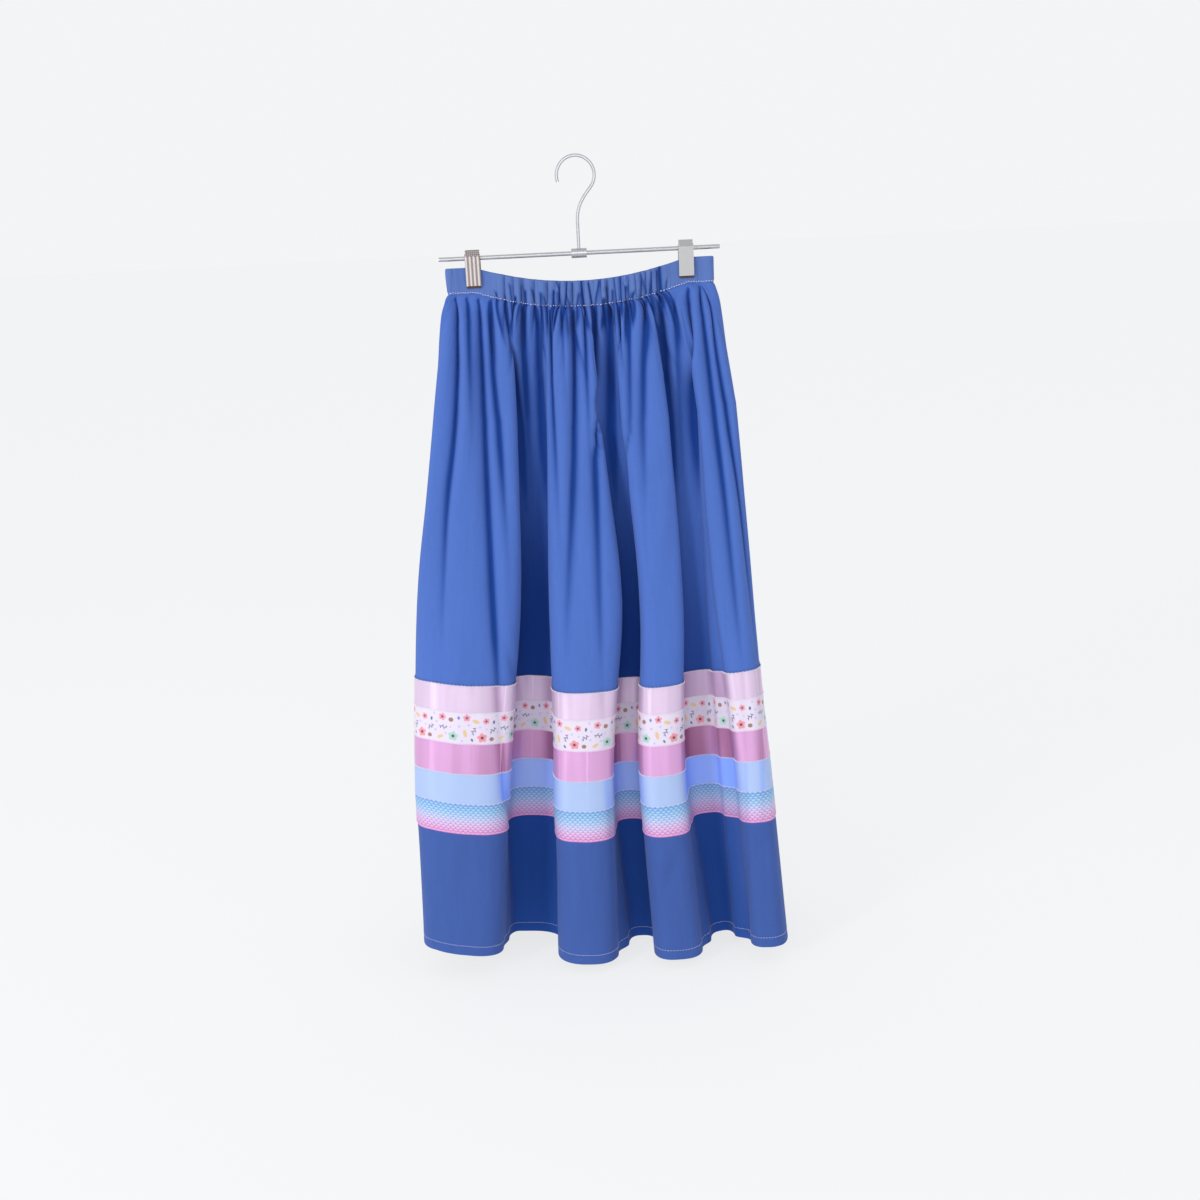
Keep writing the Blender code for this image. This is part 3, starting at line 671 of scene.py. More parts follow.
# ---------------------------------------------------------------- materials
THREAD_PITCH = 0.00062      # of the cotton's weave
STREAK_PITCH = 0.0430       # between the satin's thin painted highlight streaks, before they drift
RIB_PITCH = 0.0046          # of the ribs pressed into a clip
SCALE_PITCH = 0.0063        # width of a printed scale
SCALE_STEP = 0.0031         # from one row of scales to the next
DOT_BLUR = 0.00025          # of a printed motif's edge


def rgba(colour):
    """A colour with its alpha, or a socket as it is."""
    return (*colour, 1.0) if isinstance(colour, (tuple, list)) else colour


class Recipe:
    """A material's node graph, written as sums."""

    def __init__(self, name):
        self.material = bpy.data.materials.new(name)
        self.material.use_nodes = True
        self.tree = self.material.node_tree
        self.shader = self.tree.nodes["Principled BSDF"]

    def put(self, socket, value):
        if isinstance(value, bpy.types.NodeSocket):
            self.tree.links.new(value, socket)
        elif value is not None:
            socket.default_value = value

    def node(self, kind, settings=None, **inputs):
        made = self.tree.nodes.new(kind)
        for key, value in (settings or {}).items():
            setattr(made, key, value)
        for key, value in inputs.items():
            self.put(made.inputs[key.replace("_", " ")], value)
        return made

    def math(self, operation, a, b=None):
        made = self.tree.nodes.new("ShaderNodeMath")
        made.operation = operation
        for socket, value in zip(made.inputs, (a, b)):
            self.put(socket, value)
        return made.outputs[0]

    def add(self, a, b):
        return self.math("ADD", a, b)

    def sub(self, a, b):
        return self.math("SUBTRACT", a, b)

    def times(self, a, b):
        return self.math("MULTIPLY", a, b)

    def most(self, a, b):
        return self.math("MAXIMUM", a, b)

    def step(self, value, low, high):
        """0 below low and 1 above high, softly; reversed if low is over high."""
        made = self.tree.nodes.new("ShaderNodeMapRange")
        made.interpolation_type = "SMOOTHSTEP"
        turned = low > high
        self.put(made.inputs["Value"], value)
        made.inputs["From Min"].default_value = min(low, high)
        made.inputs["From Max"].default_value = max(low, high)
        made.inputs["To Min"].default_value = 1.0 if turned else 0.0
        made.inputs["To Max"].default_value = 0.0 if turned else 1.0
        return made.outputs["Result"]

    def mix(self, share, a, b):
        """Colour a, turning to colour b with the share."""
        made = self.tree.nodes.new("ShaderNodeMix")
        made.data_type = "RGBA"
        self.put(made.inputs[0], share)
        for socket, value in ((made.inputs[6], a), (made.inputs[7], b)):
            self.put(socket, rgba(value))
        return made.outputs[2]

    def cloth_uv(self):
        """Metres round the cloth and metres down it."""
        uv = self.tree.nodes.new("ShaderNodeUVMap")
        uv.uv_map = "cloth"
        parts = self.node("ShaderNodeSeparateXYZ")
        self.put(parts.inputs[0], uv.outputs[0])
        return parts.outputs[0], self.times(parts.outputs[1], -1.0)

    def vector(self, x, y, z=0.0):
        made = self.tree.nodes.new("ShaderNodeCombineXYZ")
        for socket, value in zip(made.inputs, (x, y, z)):
            self.put(socket, value)
        return made.outputs[0]

    def noise(self, vector, scale=1.0, detail=2.0, roughness=0.5):
        made = self.node("ShaderNodeTexNoise", Scale=scale, Detail=detail, Roughness=roughness)
        self.put(made.inputs["Vector"], vector)
        return made.outputs["Fac"]

    def grain(self, u, v, per_u, per_v, detail=2.0, roughness=0.5, layer=0.0):
        """Noise over the cloth, with so many grains a metre round it and down it."""
        place = self.vector(self.times(u, per_u), self.times(v, per_v), layer)
        return self.noise(place, 1.0, detail, roughness)

    def about(self, value, amount):
        """A value from 0 to 1, moved to lie about 0 and made as large as an amount."""
        return self.times(self.sub(value, 0.5), amount)

    def far(self, x, y):
        """How far a place is from a middle, x and y being its distances from it."""
        return self.math("SQRT", self.add(self.times(x, x), self.times(y, y)))

    def ramp(self, share, stops):
        """A colour for each share, read from (share, colour or brightness) pairs."""
        made = self.node("ShaderNodeValToRGB")
        self.put(made.inputs[0], share)
        marks = made.color_ramp.elements
        full = [(at, (*c, 1) if isinstance(c, tuple) else (c, c, c, 1)) for at, c in stops]
        for mark, (at, colour) in zip(marks, (full[0], full[-1])):
            mark.position, mark.color = at, colour
        for at, colour in full[1:-1]:
            marks.new(at).color = colour
        return made.outputs[0]

    def painted_fold_shade(self):
        """Painted shade of the folds: 0 on a crest and 1 deep in a fold."""
        return self.node("ShaderNodeAttribute", {"attribute_name": "painted_fold_shade"}).outputs["Fac"]

    def place(self):
        """The place on the piece, in metres."""
        return self.node("ShaderNodeTexCoord").outputs["Object"]

    def brighten(self, colour, by):
        """A colour made so many times as bright."""
        made = self.node("ShaderNodeHueSaturation", Value=by)
        self.put(made.inputs["Color"], colour)
        return made.outputs[0]

    def bump(self, height, distance, strength=1.0, normal=None):
        made = self.node("ShaderNodeBump", Strength=strength, Distance=distance)
        self.put(made.inputs["Height"], height)
        if normal is not None:
            self.put(made.inputs["Normal"], normal)
        return made.outputs[0]

    def finish(self, colour, normal=None, **values):
        self.put(self.shader.inputs["Base Color"], rgba(colour))
        if normal is not None:
            self.put(self.shader.inputs["Normal"], normal)
        for key, value in values.items():
            self.put(self.shader.inputs[key.replace("_", " ")], value)
        return self.material


def shade(colour, by):
    return tuple(min(1.0, c * by) for c in colour)


def painted_shade_by_depth(r, stops):
    """Painted shade: a brightness for each depth in the folds, read from (depth, brightness) pairs.
    """
    return r.ramp(r.painted_fold_shade(), stops)


def cotton(name, lit, deep, low_tone=(1.0, 1.0, 1.0), low_shade=(1.0, 1.0, 1.0)):
    """Plain-weave cotton: uneven threads both ways, a soft nap, and painted shade in the folds.
    Below the ribbons it takes another tone."""
    r = Recipe(name)
    u, v = r.cloth_uv()
    slubs_down = r.grain(u, v, 1500.0, 45.0)
    slubs_round = r.grain(u, v, 60.0, 1500.0)
    turn = 2 * math.pi / THREAD_PITCH
    weave = r.times(r.math("SINE", r.times(u, turn)), r.math("SINE", r.times(v, turn)))
    patches = r.grain(u, v, 9.0, 5.0, 3.0)
    worn = r.grain(u, v, 120.0, 9.0, 3.0)
    # painted shade: from the lit colour to deep, the shaded colour, deeper in the folds, also below
    # the ribbons
    shade_in_fold = r.step(r.painted_fold_shade(), 0.04, 0.92)
    colour = r.mix(shade_in_fold, lit, deep)
    below = r.step(v, RIBBONS[-1]["foot"] - 0.004, RIBBONS[-1]["foot"] + 0.004)
    darker = tuple(c * t for c, t in zip(lit, low_tone))
    painted_shade_below = tuple(c * t for c, t in zip(deep, low_shade))
    colour = r.mix(below, colour, r.mix(shade_in_fold, darker, painted_shade_below))
    tone = r.times(weave, 0.02)
    for part, amount in ((slubs_down, 0.16), (slubs_round, 0.12), (patches, 0.16), (worn, 0.14)):
        tone = r.add(tone, r.about(part, amount))
    colour = r.brighten(colour, r.add(tone, 1.0))
    creases = r.grain(u, v, 55.0, 22.0, 3.0, 0.55)
    height = r.add(r.times(weave, 0.5), r.add(slubs_down, slubs_round))
    normal = r.bump(height, 0.00012, 0.8, r.bump(creases, 0.0017, 0.7))
    return r.finish(colour, normal, Roughness=0.86, Sheen_Weight=0.14,
                    Sheen_Roughness=0.45, Sheen_Tint=(0.62, 0.72, 1.0, 1.0),
                    Specular_IOR_Level=0.22)


def satin(name, lit, deep, roughness, streaks):
    """Ribbon satin: long floats along the ribbon, so the light draws out across it. Soft bands
    and thin bright streaks are painted highlights in its colour, and its folds painted shade."""
    r = Recipe(name)
    u, v = r.cloth_uv()
    fine = r.grain(u, v, 40.0, 4200.0)
    bent = r.add(u, r.about(r.grain(u, v, 20.0, 60.0, 1.0), 0.0022))
    waves = r.grain(bent, v, 55.0, 3.0)
    sheen_bands = r.grain(bent, v, 22.0, 2.0, 1.0)
    drift = r.about(r.grain(u, 0.0, 13.0, 0.0, 1.0, layer=7.0), 0.050)
    thin = r.math("ABSOLUTE", apart(r, r.add(bent, drift), 0.018, STREAK_PITCH))
    strong = r.step(r.grain(u, v, 15.0, 9.0, 1.0, layer=3.0), 0.36, 0.62)
    # painted shade by depth in the folds, with broad painted sheen bands, from deep, the shaded
    # colour, to the lit one
    tone = painted_shade_by_depth(r, ((0.0, 1.02), (0.14, 0.80), (0.42, 0.52), (0.75, 0.62), (1.0, 0.80)))
    tone = r.add(tone, r.about(sheen_bands, 1.3 * streaks))
    colour = r.mix(r.step(tone, 0.35, 1.02), deep, lit)
    # painted highlights: thin bright streaks and soft glows, lighter than the lit colour
    line = r.times(r.step(thin, 0.0013, 0.0002), strong)
    colour = r.mix(r.times(line, 0.55 * streaks), colour, shade(lit, 1.40))
    painted_sheen = r.times(r.step(waves, 0.56, 0.74), 0.24 * streaks)
    colour = r.mix(painted_sheen, colour, shade(lit, 1.3))
    colour = r.brighten(colour, r.add(1.0, r.about(fine, 0.12)))
    normal = r.bump(fine, 0.00008, 0.6, r.bump(waves, 0.0016 * streaks, 0.6))
    tangent = r.node("ShaderNodeTangent", {"direction_type": "UV_MAP", "uv_map": "cloth"})
    r.put(r.shader.inputs["Tangent"], tangent.outputs[0])
    return r.finish(colour, normal, Roughness=roughness, Metallic=0.25 * streaks,
                    Anisotropic=0.75, Anisotropic_Rotation=0.25, Specular_IOR_Level=0.5,
                    Sheen_Weight=0.10, Sheen_Roughness=0.35)


def apart(r, value, centre, repeat):
    """The signed distance round the ribbon to the nearest copy of a motif's centre."""
    moved = r.math("FLOORED_MODULO", r.add(value, repeat / 2 - centre), repeat)
    return r.sub(moved, repeat / 2)


def oval(r, x, y, long, wide, turn, soft=0.2):
    """1 inside an oval that is turned by an angle in degrees."""
    c, s = math.cos(math.radians(turn)), math.sin(math.radians(turn))
    a = r.add(r.times(x, c / long), r.times(y, s / long))
    b = r.sub(r.times(y, c / wide), r.times(x, s / wide))
    return r.step(r.add(r.times(a, a), r.times(b, b)), 1 + soft, 1 - soft)


def blossom(r, x, y, size, petals, turn):
    """1 inside a flower with round petals, x and y being distances from its middle."""
    angle = r.math("ARCTAN2", y, x)
    wave = r.math("ABSOLUTE", r.math("COSINE", r.add(r.times(angle, petals / 2), turn)))
    edge = r.times(r.add(r.times(r.math("POWER", wave, 0.6), 0.40), 0.60), size)
    return r.step(r.sub(r.far(x, y), edge), DOT_BLUR, -DOT_BLUR)


def print_bump(r, u, v):
    """A printed ribbon's surface: fine threads along it and slight waves across it."""
    return r.bump(r.grain(u, v, 40.0, 3200.0), 0.00008, 0.5,
                  r.bump(r.grain(u, v, 55.0, 9.0), 0.0009, 0.5))


# One repeat of the floral print: places round (x) and down (y) the ribbon and sizes in mm. A
# flower's turn is in radians, the others' in degrees, and only ovals have a width.
PRINT_REPEAT = 0.0750
PRINT = table(
    "kind x y size wide turn ink",
    ("flower", 9.0, 7.0, 4.6, 0, 0.2, "rose"), ("flower", 38.0, 6.2, 4.6, 0, 0.9, "rose"),
    ("flower", 61.0, 10.0, 4.2, 0, 1.7, "rose"), ("flower", 22.5, 29.5, 6.2, 0, 0.5, "mint"),
    ("flower", 57.0, 30.5, 6.0, 0, 1.2, "coral"), ("oval", 19.5, 9.5, 2.9, 2.7, 0, "brown"),
    ("oval", 68.5, 32.5, 2.8, 2.5, 0, "brown"), ("oval", 49.0, 10.5, 4.4, 2.3, 18, "ochre"),
    ("oval", 36.5, 25.5, 4.8, 2.2, 78, "ochre"), ("oval", 7.0, 32.0, 4.0, 2.0, -30, "ochre"),
    ("oval", 70.5, 11.5, 2.3, 1.4, 95, "navy"), ("oval", 45.0, 33.5, 2.1, 1.3, 60, "navy"),
    ("oval", 28.5, 6.5, 2.1, 1.5, 80, "blue"), ("sprig", 10.0, 19.5, 5.6, 0, 12, "navy"),
    ("sprig", 47.0, 22.0, 5.4, 0, 122, "navy"), ("sprig", 70.0, 21.5, 5.0, 0, 155, "navy"),
    ("oval", 29.5, 17.0, 1.6, 1.6, 0, "lavender"), ("oval", 54.0, 17.5, 1.5, 1.4, 0, "lavender"),
    ("oval", 62.0, 20.0, 1.2, 1.2, 0, "lavender"), ("oval", 2.0, 14.0, 1.4, 1.4, 0, "lavender"),
    ("oval", 19.0, 18.5, 1.2, 1.2, 0, "lavender"), ("oval", 40.5, 15.0, 1.4, 1.4, 0, "lavender"),
    ("oval", 1.0, 24.5, 1.5, 1.5, 0, "lavender"), ("oval", 13.5, 27.0, 1.3, 1.3, 0, "lavender"),
    ("oval", 33.0, 35.0, 1.4, 1.4, 0, "lavender"), ("oval", 74.0, 4.0, 1.3, 1.3, 0, "lavender"),
)
INKS = {
    "rose": (0.72, 0.24, 0.34), "coral": (0.74, 0.23, 0.28), "mint": (0.32, 0.56, 0.50),
    "brown": (0.23, 0.10, 0.035), "ochre": (0.64, 0.45, 0.20), "navy": (0.035, 0.06, 0.22),
    "blue": (0.09, 0.13, 0.52), "lavender": (0.46, 0.42, 0.84),
}


def floral(name, ground, top):
    """A white ribbon printed with small flowers, leaves, sprigs and dots."""
    r = Recipe(name)
    u, v = r.cloth_uv()
    u = r.add(u, r.about(r.grain(u, v, 900.0, 900.0, 1.0), 0.0006))
    v = r.sub(v, top)
    # painted shade: the ground darkened deeper in the folds
    shade_by_fold = painted_shade_by_depth(r, ((0.0, 1.0), (0.3, 0.86), (0.6, 0.80), (1.0, 0.92)))
    colour = r.mix(shade_by_fold, shade(ground, 0.3), ground)
    for motif in PRINT:
        x = apart(r, u, motif["x"] * MM, PRINT_REPEAT)
        y = r.sub(v, motif["y"] * MM)
        size, ink = motif["size"] * MM, INKS[motif["ink"]]
        if motif["kind"] == "flower":
            mask = blossom(r, x, y, size, 5, motif["turn"])
            colour = r.mix(r.times(mask, 0.86), colour, ink)
            far = r.far(x, y)
            petal_shade = r.times(mask, r.step(far, size * 0.75, size * 0.15))
            colour = r.mix(r.times(petal_shade, 0.45), colour, shade(ink, 0.45))
            heart = r.step(far, size * 0.24 + DOT_BLUR, size * 0.24 - DOT_BLUR)
            colour = r.mix(heart, colour, (0.05, 0.02, 0.03))
        elif motif["kind"] == "oval":
            mask = oval(r, x, y, size, motif["wide"] * MM, motif["turn"])
            colour = r.mix(r.times(mask, 0.85), colour, ink)
        else:
            c, s = math.cos(math.radians(motif["turn"])), math.sin(math.radians(motif["turn"]))
            mask = oval(r, x, y, size, 0.00036, motif["turn"], 0.5)
            for along, hand in ((-0.5, 1), (-0.1, -1), (0.3, 1), (0.7, -1)):
                leaf_x = r.sub(x, size * along * c - hand * 0.0014 * s)
                leaf_y = r.sub(y, size * along * s + hand * 0.0014 * c)
                leaf = oval(r, leaf_x, leaf_y, 0.0017, 0.00062, motif["turn"] + hand * 55)
                mask = r.most(mask, leaf)
            colour = r.mix(r.times(mask, 0.88), colour, ink)
    return r.finish(colour, print_bump(r, u, v), Roughness=0.55, Sheen_Weight=0.10,
                    Specular_IOR_Level=0.4)


def scales(name, top, foot):
    """A ribbon printed with rows of round scales, outlined darker than their ground, that pass
    from turquoise through white to pink."""
    r = Recipe(name)
    u, v = r.cloth_uv()
    pitch, step = SCALE_PITCH, SCALE_STEP
    down = r.math("DIVIDE", r.sub(v, top), step)
    line = r.math("FLOOR", down)
    rim, inside, held = 0.0, 0.0, 0.0
    for back in (0.0, 1.0, 2.0):
        row = r.sub(line, back)
        stagger = r.times(r.math("FLOORED_MODULO", row, 2.0), 0.5)
        across = r.math("FRACT", r.add(r.math("DIVIDE", u, pitch), stagger))
        x = r.times(r.sub(across, 0.5), pitch)
        y = r.times(r.sub(down, row), step)
        far = r.far(x, y)
        open_part = r.sub(1.0, held)
        ring = r.step(r.math("ABSOLUTE", r.sub(far, pitch * 0.53)), 0.00062, 0.00020)
        rim = r.most(rim, r.times(ring, open_part))
        inside = r.most(inside, r.times(r.step(far, pitch * 0.50, pitch * 0.12), open_part))
        held = r.most(held, r.step(far, pitch * 0.56, pitch * 0.52))
    place = r.math("DIVIDE", r.sub(v, top), foot - top)
    ground = r.ramp(place, ((0.0, (0.14, 0.35, 0.68)), (0.14, (0.17, 0.40, 0.70)),
                            (0.36, (0.28, 0.49, 0.74)), (0.55, (0.48, 0.49, 0.74)),
                            (0.74, (0.61, 0.39, 0.66)), (0.90, (0.60, 0.27, 0.55)),
                            (1.0, (0.56, 0.23, 0.49))))
    outline = r.ramp(place, ((0.0, (0.06, 0.20, 0.46)), (0.30, (0.10, 0.27, 0.44)),
                             (0.52, (0.24, 0.24, 0.46)), (0.72, (0.38, 0.13, 0.36)),
                             (1.0, (0.44, 0.12, 0.36))))
    colour = r.mix(r.times(inside, 0.36), ground, (0.76, 0.70, 0.86))
    colour = r.mix(r.times(rim, 0.80), colour, outline)
    # painted shade: the print darkened towards navy deeper in the folds
    tone = painted_shade_by_depth(r, ((0.0, 1.0), (0.3, 0.66), (0.7, 0.62), (1.0, 0.82)))
    colour = r.mix(tone, (0.10, 0.10, 0.28), colour)
    edge = r.step(v, foot - 0.0019, foot - 0.0012)
    colour = r.mix(edge, colour, (0.62, 0.20, 0.46))
    return r.finish(colour, print_bump(r, u, v), Roughness=0.55, Sheen_Weight=0.06,
                    Specular_IOR_Level=0.3)


def thread(name, colour):
    """Sewing thread: twisted plies and a slight gloss."""
    r = Recipe(name)
    place = r.place()
    plies = r.noise(place, 2600.0, 1.0)
    tint = r.mix(plies, shade(colour, 0.82), shade(colour, 1.08))
    return r.finish(tint, r.bump(plies, 0.0001, 0.5), Roughness=0.6, Sheen_Weight=0.2)


def steel(name, colour, roughness, ribbed=False):
    """Brushed bright steel; ribbed steel has a grid pressed into its thumb rest and upright ribs
    below it."""
    r = Recipe(name)
    place = r.place()
    stretched = r.node("ShaderNodeMapping")
    r.put(stretched.inputs["Vector"], place)
    stretched.inputs["Scale"].default_value = (2400.0, 2400.0, 120.0)
    brush = r.noise(stretched.outputs[0], 1.0, 2.0)
    worn = r.noise(place, 160.0, 3.0)
    tint = r.mix(worn, shade(colour, 0.86), colour)
    normal = r.bump(brush, 0.00004, 0.5)
    if ribbed:
        parts = r.node("ShaderNodeSeparateXYZ")
        r.put(parts.inputs[0], place)
        turn = 2 * math.pi / RIB_PITCH
        upright = r.math("SINE", r.times(parts.outputs[0], turn))
        level = r.math("SINE", r.times(parts.outputs[2], turn))
        on_rest = r.step(parts.outputs[2], BAR_Z + 0.0020, BAR_Z + 0.0026)
        groove = r.step(upright, 0.35, -0.55)
        grid = r.most(r.step(r.math("ABSOLUTE", upright), 0.50, 0.15),
                      r.step(r.math("ABSOLUTE", level), 0.50, 0.15))
        pressed = r.add(r.times(grid, on_rest), r.times(groove, r.sub(1.0, on_rest)))
        # the pressed grid and grooves are painted darker, as painted shade in them
        tint = r.mix(r.times(pressed, 0.80), tint, (0.17, 0.115, 0.10))
        normal = r.bump(r.sub(1.0, pressed), 0.0004, 0.8, normal)
    return r.finish(tint, normal, Metallic=1.0, Roughness=r.add(roughness, r.times(worn, 0.12)))


def rubber(name, colour):
    """Soft dark rubber with a fine grain."""
    r = Recipe(name)
    place = r.place()
    grain = r.noise(place, 1800.0, 2.0)
    tint = r.mix(grain, shade(colour, 0.8), shade(colour, 1.2))
    return r.finish(tint, r.bump(grain, 0.00008, 0.5), Roughness=0.7)


MATERIALS = {}


def finish_of(name):
    """A material by name, made the first time it is asked for."""
    if name in MATERIALS:
        return MATERIALS[name]
    s = bpy.context.scene.ribbon_skirt
    five = RIBBONS[4]
    # the second colour given to cotton and satin is its painted shade deep in the folds
    makers = {
        "blue_cotton": lambda: cotton(name, tuple(s.cotton_colour), tuple(s.cotton_painted_shade),
                                      low_tone=(0.66, 0.675, 0.715),
                                      low_shade=(3.2, 1.55, 1.25)),
        "casing_cotton": lambda: cotton(name, (0.090, 0.162, 0.430), tuple(s.cotton_painted_shade)),
        "satin_pale_pink": lambda: satin(name, tuple(s.pale_pink), (0.36, 0.22, 0.39),
                                         roughness=0.36, streaks=0.8),
        "satin_rose": lambda: satin(name, tuple(s.rose), (0.265, 0.080, 0.190),
                                    roughness=0.34, streaks=1.1),
        "matt_sky_blue": lambda: satin(name, tuple(s.sky_blue), (0.135, 0.275, 0.95),
                                       roughness=0.60, streaks=0.2),
        "floral_print": lambda: floral(name, (0.655, 0.595, 0.720), RIBBONS[1]["top"]),
        "scale_print": lambda: scales(name, five["top"], five["foot"]),
        "white_thread": lambda: thread(name, (0.80, 0.74, 0.86)),
        "pink_thread": lambda: thread(name, (0.88, 0.62, 0.84)),
        "navy_thread": lambda: thread(name, (0.03, 0.05, 0.20)),
        "satin_steel": lambda: steel(name, (0.50, 0.50, 0.53), roughness=0.28),
        "clip_steel": lambda: steel(name, (0.46, 0.46, 0.465), roughness=0.36),
        "ribbed_steel": lambda: steel(name, (0.50, 0.47, 0.47), roughness=0.32, ribbed=True),
        "dark_rubber": lambda: rubber(name, (0.060, 0.022, 0.022)),
    }
    MATERIALS[name] = makers[name]()
    return MATERIALS[name]


# ---------------------------------------------------------------- stitches
def stitch_tree():
    """Lays a rounded stitch on every point, along its own direction, and makes them one mesh."""
    name = "lay_stitches"
    if name in bpy.data.node_groups:
        return bpy.data.node_groups[name]
    tree = bpy.data.node_groups.new(name, "GeometryNodeTree")
    face = tree.interface
    face.new_socket("Places", in_out="INPUT", socket_type="NodeSocketGeometry")
    for label, value in (("Stitch Width", 0.0006), ("Stitch Height", 0.0004)):
        size = face.new_socket(label, in_out="INPUT", socket_type="NodeSocketFloat")
        size.default_value = value
        size.subtype = "DISTANCE"
    face.new_socket("Thread", in_out="INPUT", socket_type="NodeSocketMaterial")
    face.new_socket("Stitches", in_out="OUTPUT", socket_type="NodeSocketGeometry")
    nodes, links = tree.nodes, tree.links
    given = nodes.new("NodeGroupInput")
    ball = nodes.new("GeometryNodeMeshIcoSphere")
    ball.inputs["Radius"].default_value = 0.5
    ball.inputs["Subdivisions"].default_value = 1
    smooth = nodes.new("GeometryNodeSetShadeSmooth")
    links.new(ball.outputs["Mesh"], smooth.inputs["Geometry"])
    fields = {}
    for label, kind in (("along", "FLOAT_VECTOR"), ("out", "FLOAT_VECTOR"), ("span", "FLOAT")):
        field = nodes.new("GeometryNodeInputNamedAttribute")
        field.data_type = kind
        field.inputs["Name"].default_value = label
        fields[label] = field.outputs["Attribute"]
    turn = nodes.new("FunctionNodeAxesToRotation")
    turn.primary_axis, turn.secondary_axis = "X", "Z"
    links.new(fields["along"], turn.inputs[0])
    links.new(fields["out"], turn.inputs[1])
    size = nodes.new("ShaderNodeCombineXYZ")
    links.new(fields["span"], size.inputs[0])
    links.new(given.outputs["Stitch Width"], size.inputs[1])
    links.new(given.outputs["Stitch Height"], size.inputs[2])
    lay = nodes.new("GeometryNodeInstanceOnPoints")
    links.new(given.outputs["Places"], lay.inputs["Points"])
    links.new(smooth.outputs["Geometry"], lay.inputs["Instance"])
    links.new(turn.outputs[0], lay.inputs["Rotation"])
    links.new(size.outputs[0], lay.inputs["Scale"])
    real = nodes.new("GeometryNodeRealizeInstances")
    links.new(lay.outputs[0], real.inputs[0])
    paint = nodes.new("GeometryNodeSetMaterial")
    links.new(real.outputs[0], paint.inputs["Geometry"])
    links.new(given.outputs["Thread"], paint.inputs["Material"])
    result = nodes.new("NodeGroupOutput")
    links.new(paint.outputs[0], result.inputs[0])
    return tree


def lay_stitches(name, starts, ends, outs, width, height, finish, slot_name):
    """One mesh of stitches, each running from its start to its end."""
    along = ends - starts
    span = np.linalg.norm(along, axis=1)
    mesh = bpy.data.meshes.new(name + "_places")
    mesh.vertices.add(len(starts))
    mesh.vertices.foreach_set("co", ((starts + ends) / 2).ravel())
    for label, kind, values in (("along", "FLOAT_VECTOR", along / span[:, None]),
                                ("out", "FLOAT_VECTOR", outs), ("span", "FLOAT", span)):
        field = mesh.attributes.new(label, kind, "POINT")
        key = "value" if kind == "FLOAT" else "vector"
        field.data.foreach_set(key, np.ascontiguousarray(values, np.float32).ravel())
    made = link(bpy.data.objects.new(name, mesh))
    lay = made.modifiers.new("stitches", "NODES")
    lay.node_group = stitch_tree()
    inputs = {item.name: item.identifier for item in lay.node_group.interface.items_tree
              if item.item_type == "SOCKET" and item.in_out == "INPUT"}
    lay[inputs["Stitch Width"]] = width
    lay[inputs["Stitch Height"]] = height
    lay[inputs["Thread"]] = finish
    evaluated = made.evaluated_get(bpy.context.evaluated_depsgraph_get())
    real = bpy.data.meshes.new_from_object(evaluated)
    made.modifiers.clear()
    made.data = real
    real.name = name
    bpy.data.meshes.remove(mesh)
    if not real.materials:
        real.materials.append(finish)
    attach(made, "root")
    return made


def zigzag(drop, lift, pitch, height, phase=0.0):
    """Starts, ends and outward directions of a zigzag all round the skirt at a drop."""
    count = 2 * round(ROUND_WIDTH / pitch)
    share = (np.arange(count + 1) + phase) / count
    drops = drop + height / 2 * np.where(np.arange(count + 1) % 2 == 0, -1.0, 1.0)
    points, out = cloth().at(share, drops, lift)
    return points[:-1], points[1:], (out[:-1] + out[1:]) / 2


def running(drop, lift, pitch, fill, waver=0.0):
    """Starts, ends and outward directions of a straight stitch all round the skirt at a drop.
    Each stitch fills a share of its pitch, and wavers up and down."""
    count = round(ROUND_WIDTH / pitch)
    share = np.arange(count) / count
    drops = drop + waver * np.random.default_rng(3).uniform(-1, 1, count)
    starts, out = cloth().at(share, drops, lift)
    ends, _ = cloth().at(share + fill / count, drops, lift)
    return starts, ends, out


# ---------------------------------------------------------------- the stage's sizes
FLOOR_HALF = 60.0           # how far the floor reaches each way
FLOOR_BELOW = 0.012         # how far it lies under the hem
FLOOR_TINT, FLOOR_GLOW = (0.15, 0.152, 0.153), 0.77
SKY_TINT, SKY_GLOW = (0.978, 0.987, 1.0), 0.92
LAMP_AIM = (0, 0, -0.5)
LAMPS = table(
    "name place size power colour",
    ("key", (-2.3, -2.3, 0.6), 0.7, 46, (1.0, 0.99, 0.97)),
    ("front", (-0.3, -3.2, 0.5), 1.6, 15, (1.0, 1.0, 1.0)),
)
CAMERA_PLACE = (0, -1.65, WAIST_Z + 0.040)
CAMERA_SENSOR, CAMERA_LENS = 36, 40.95      # mm
CAMERA_SHIFT = 1 / 300                      # of the frame's width
CAMERA_PITCH, CAMERA_ROLL = -15.3, -2.8     # degrees


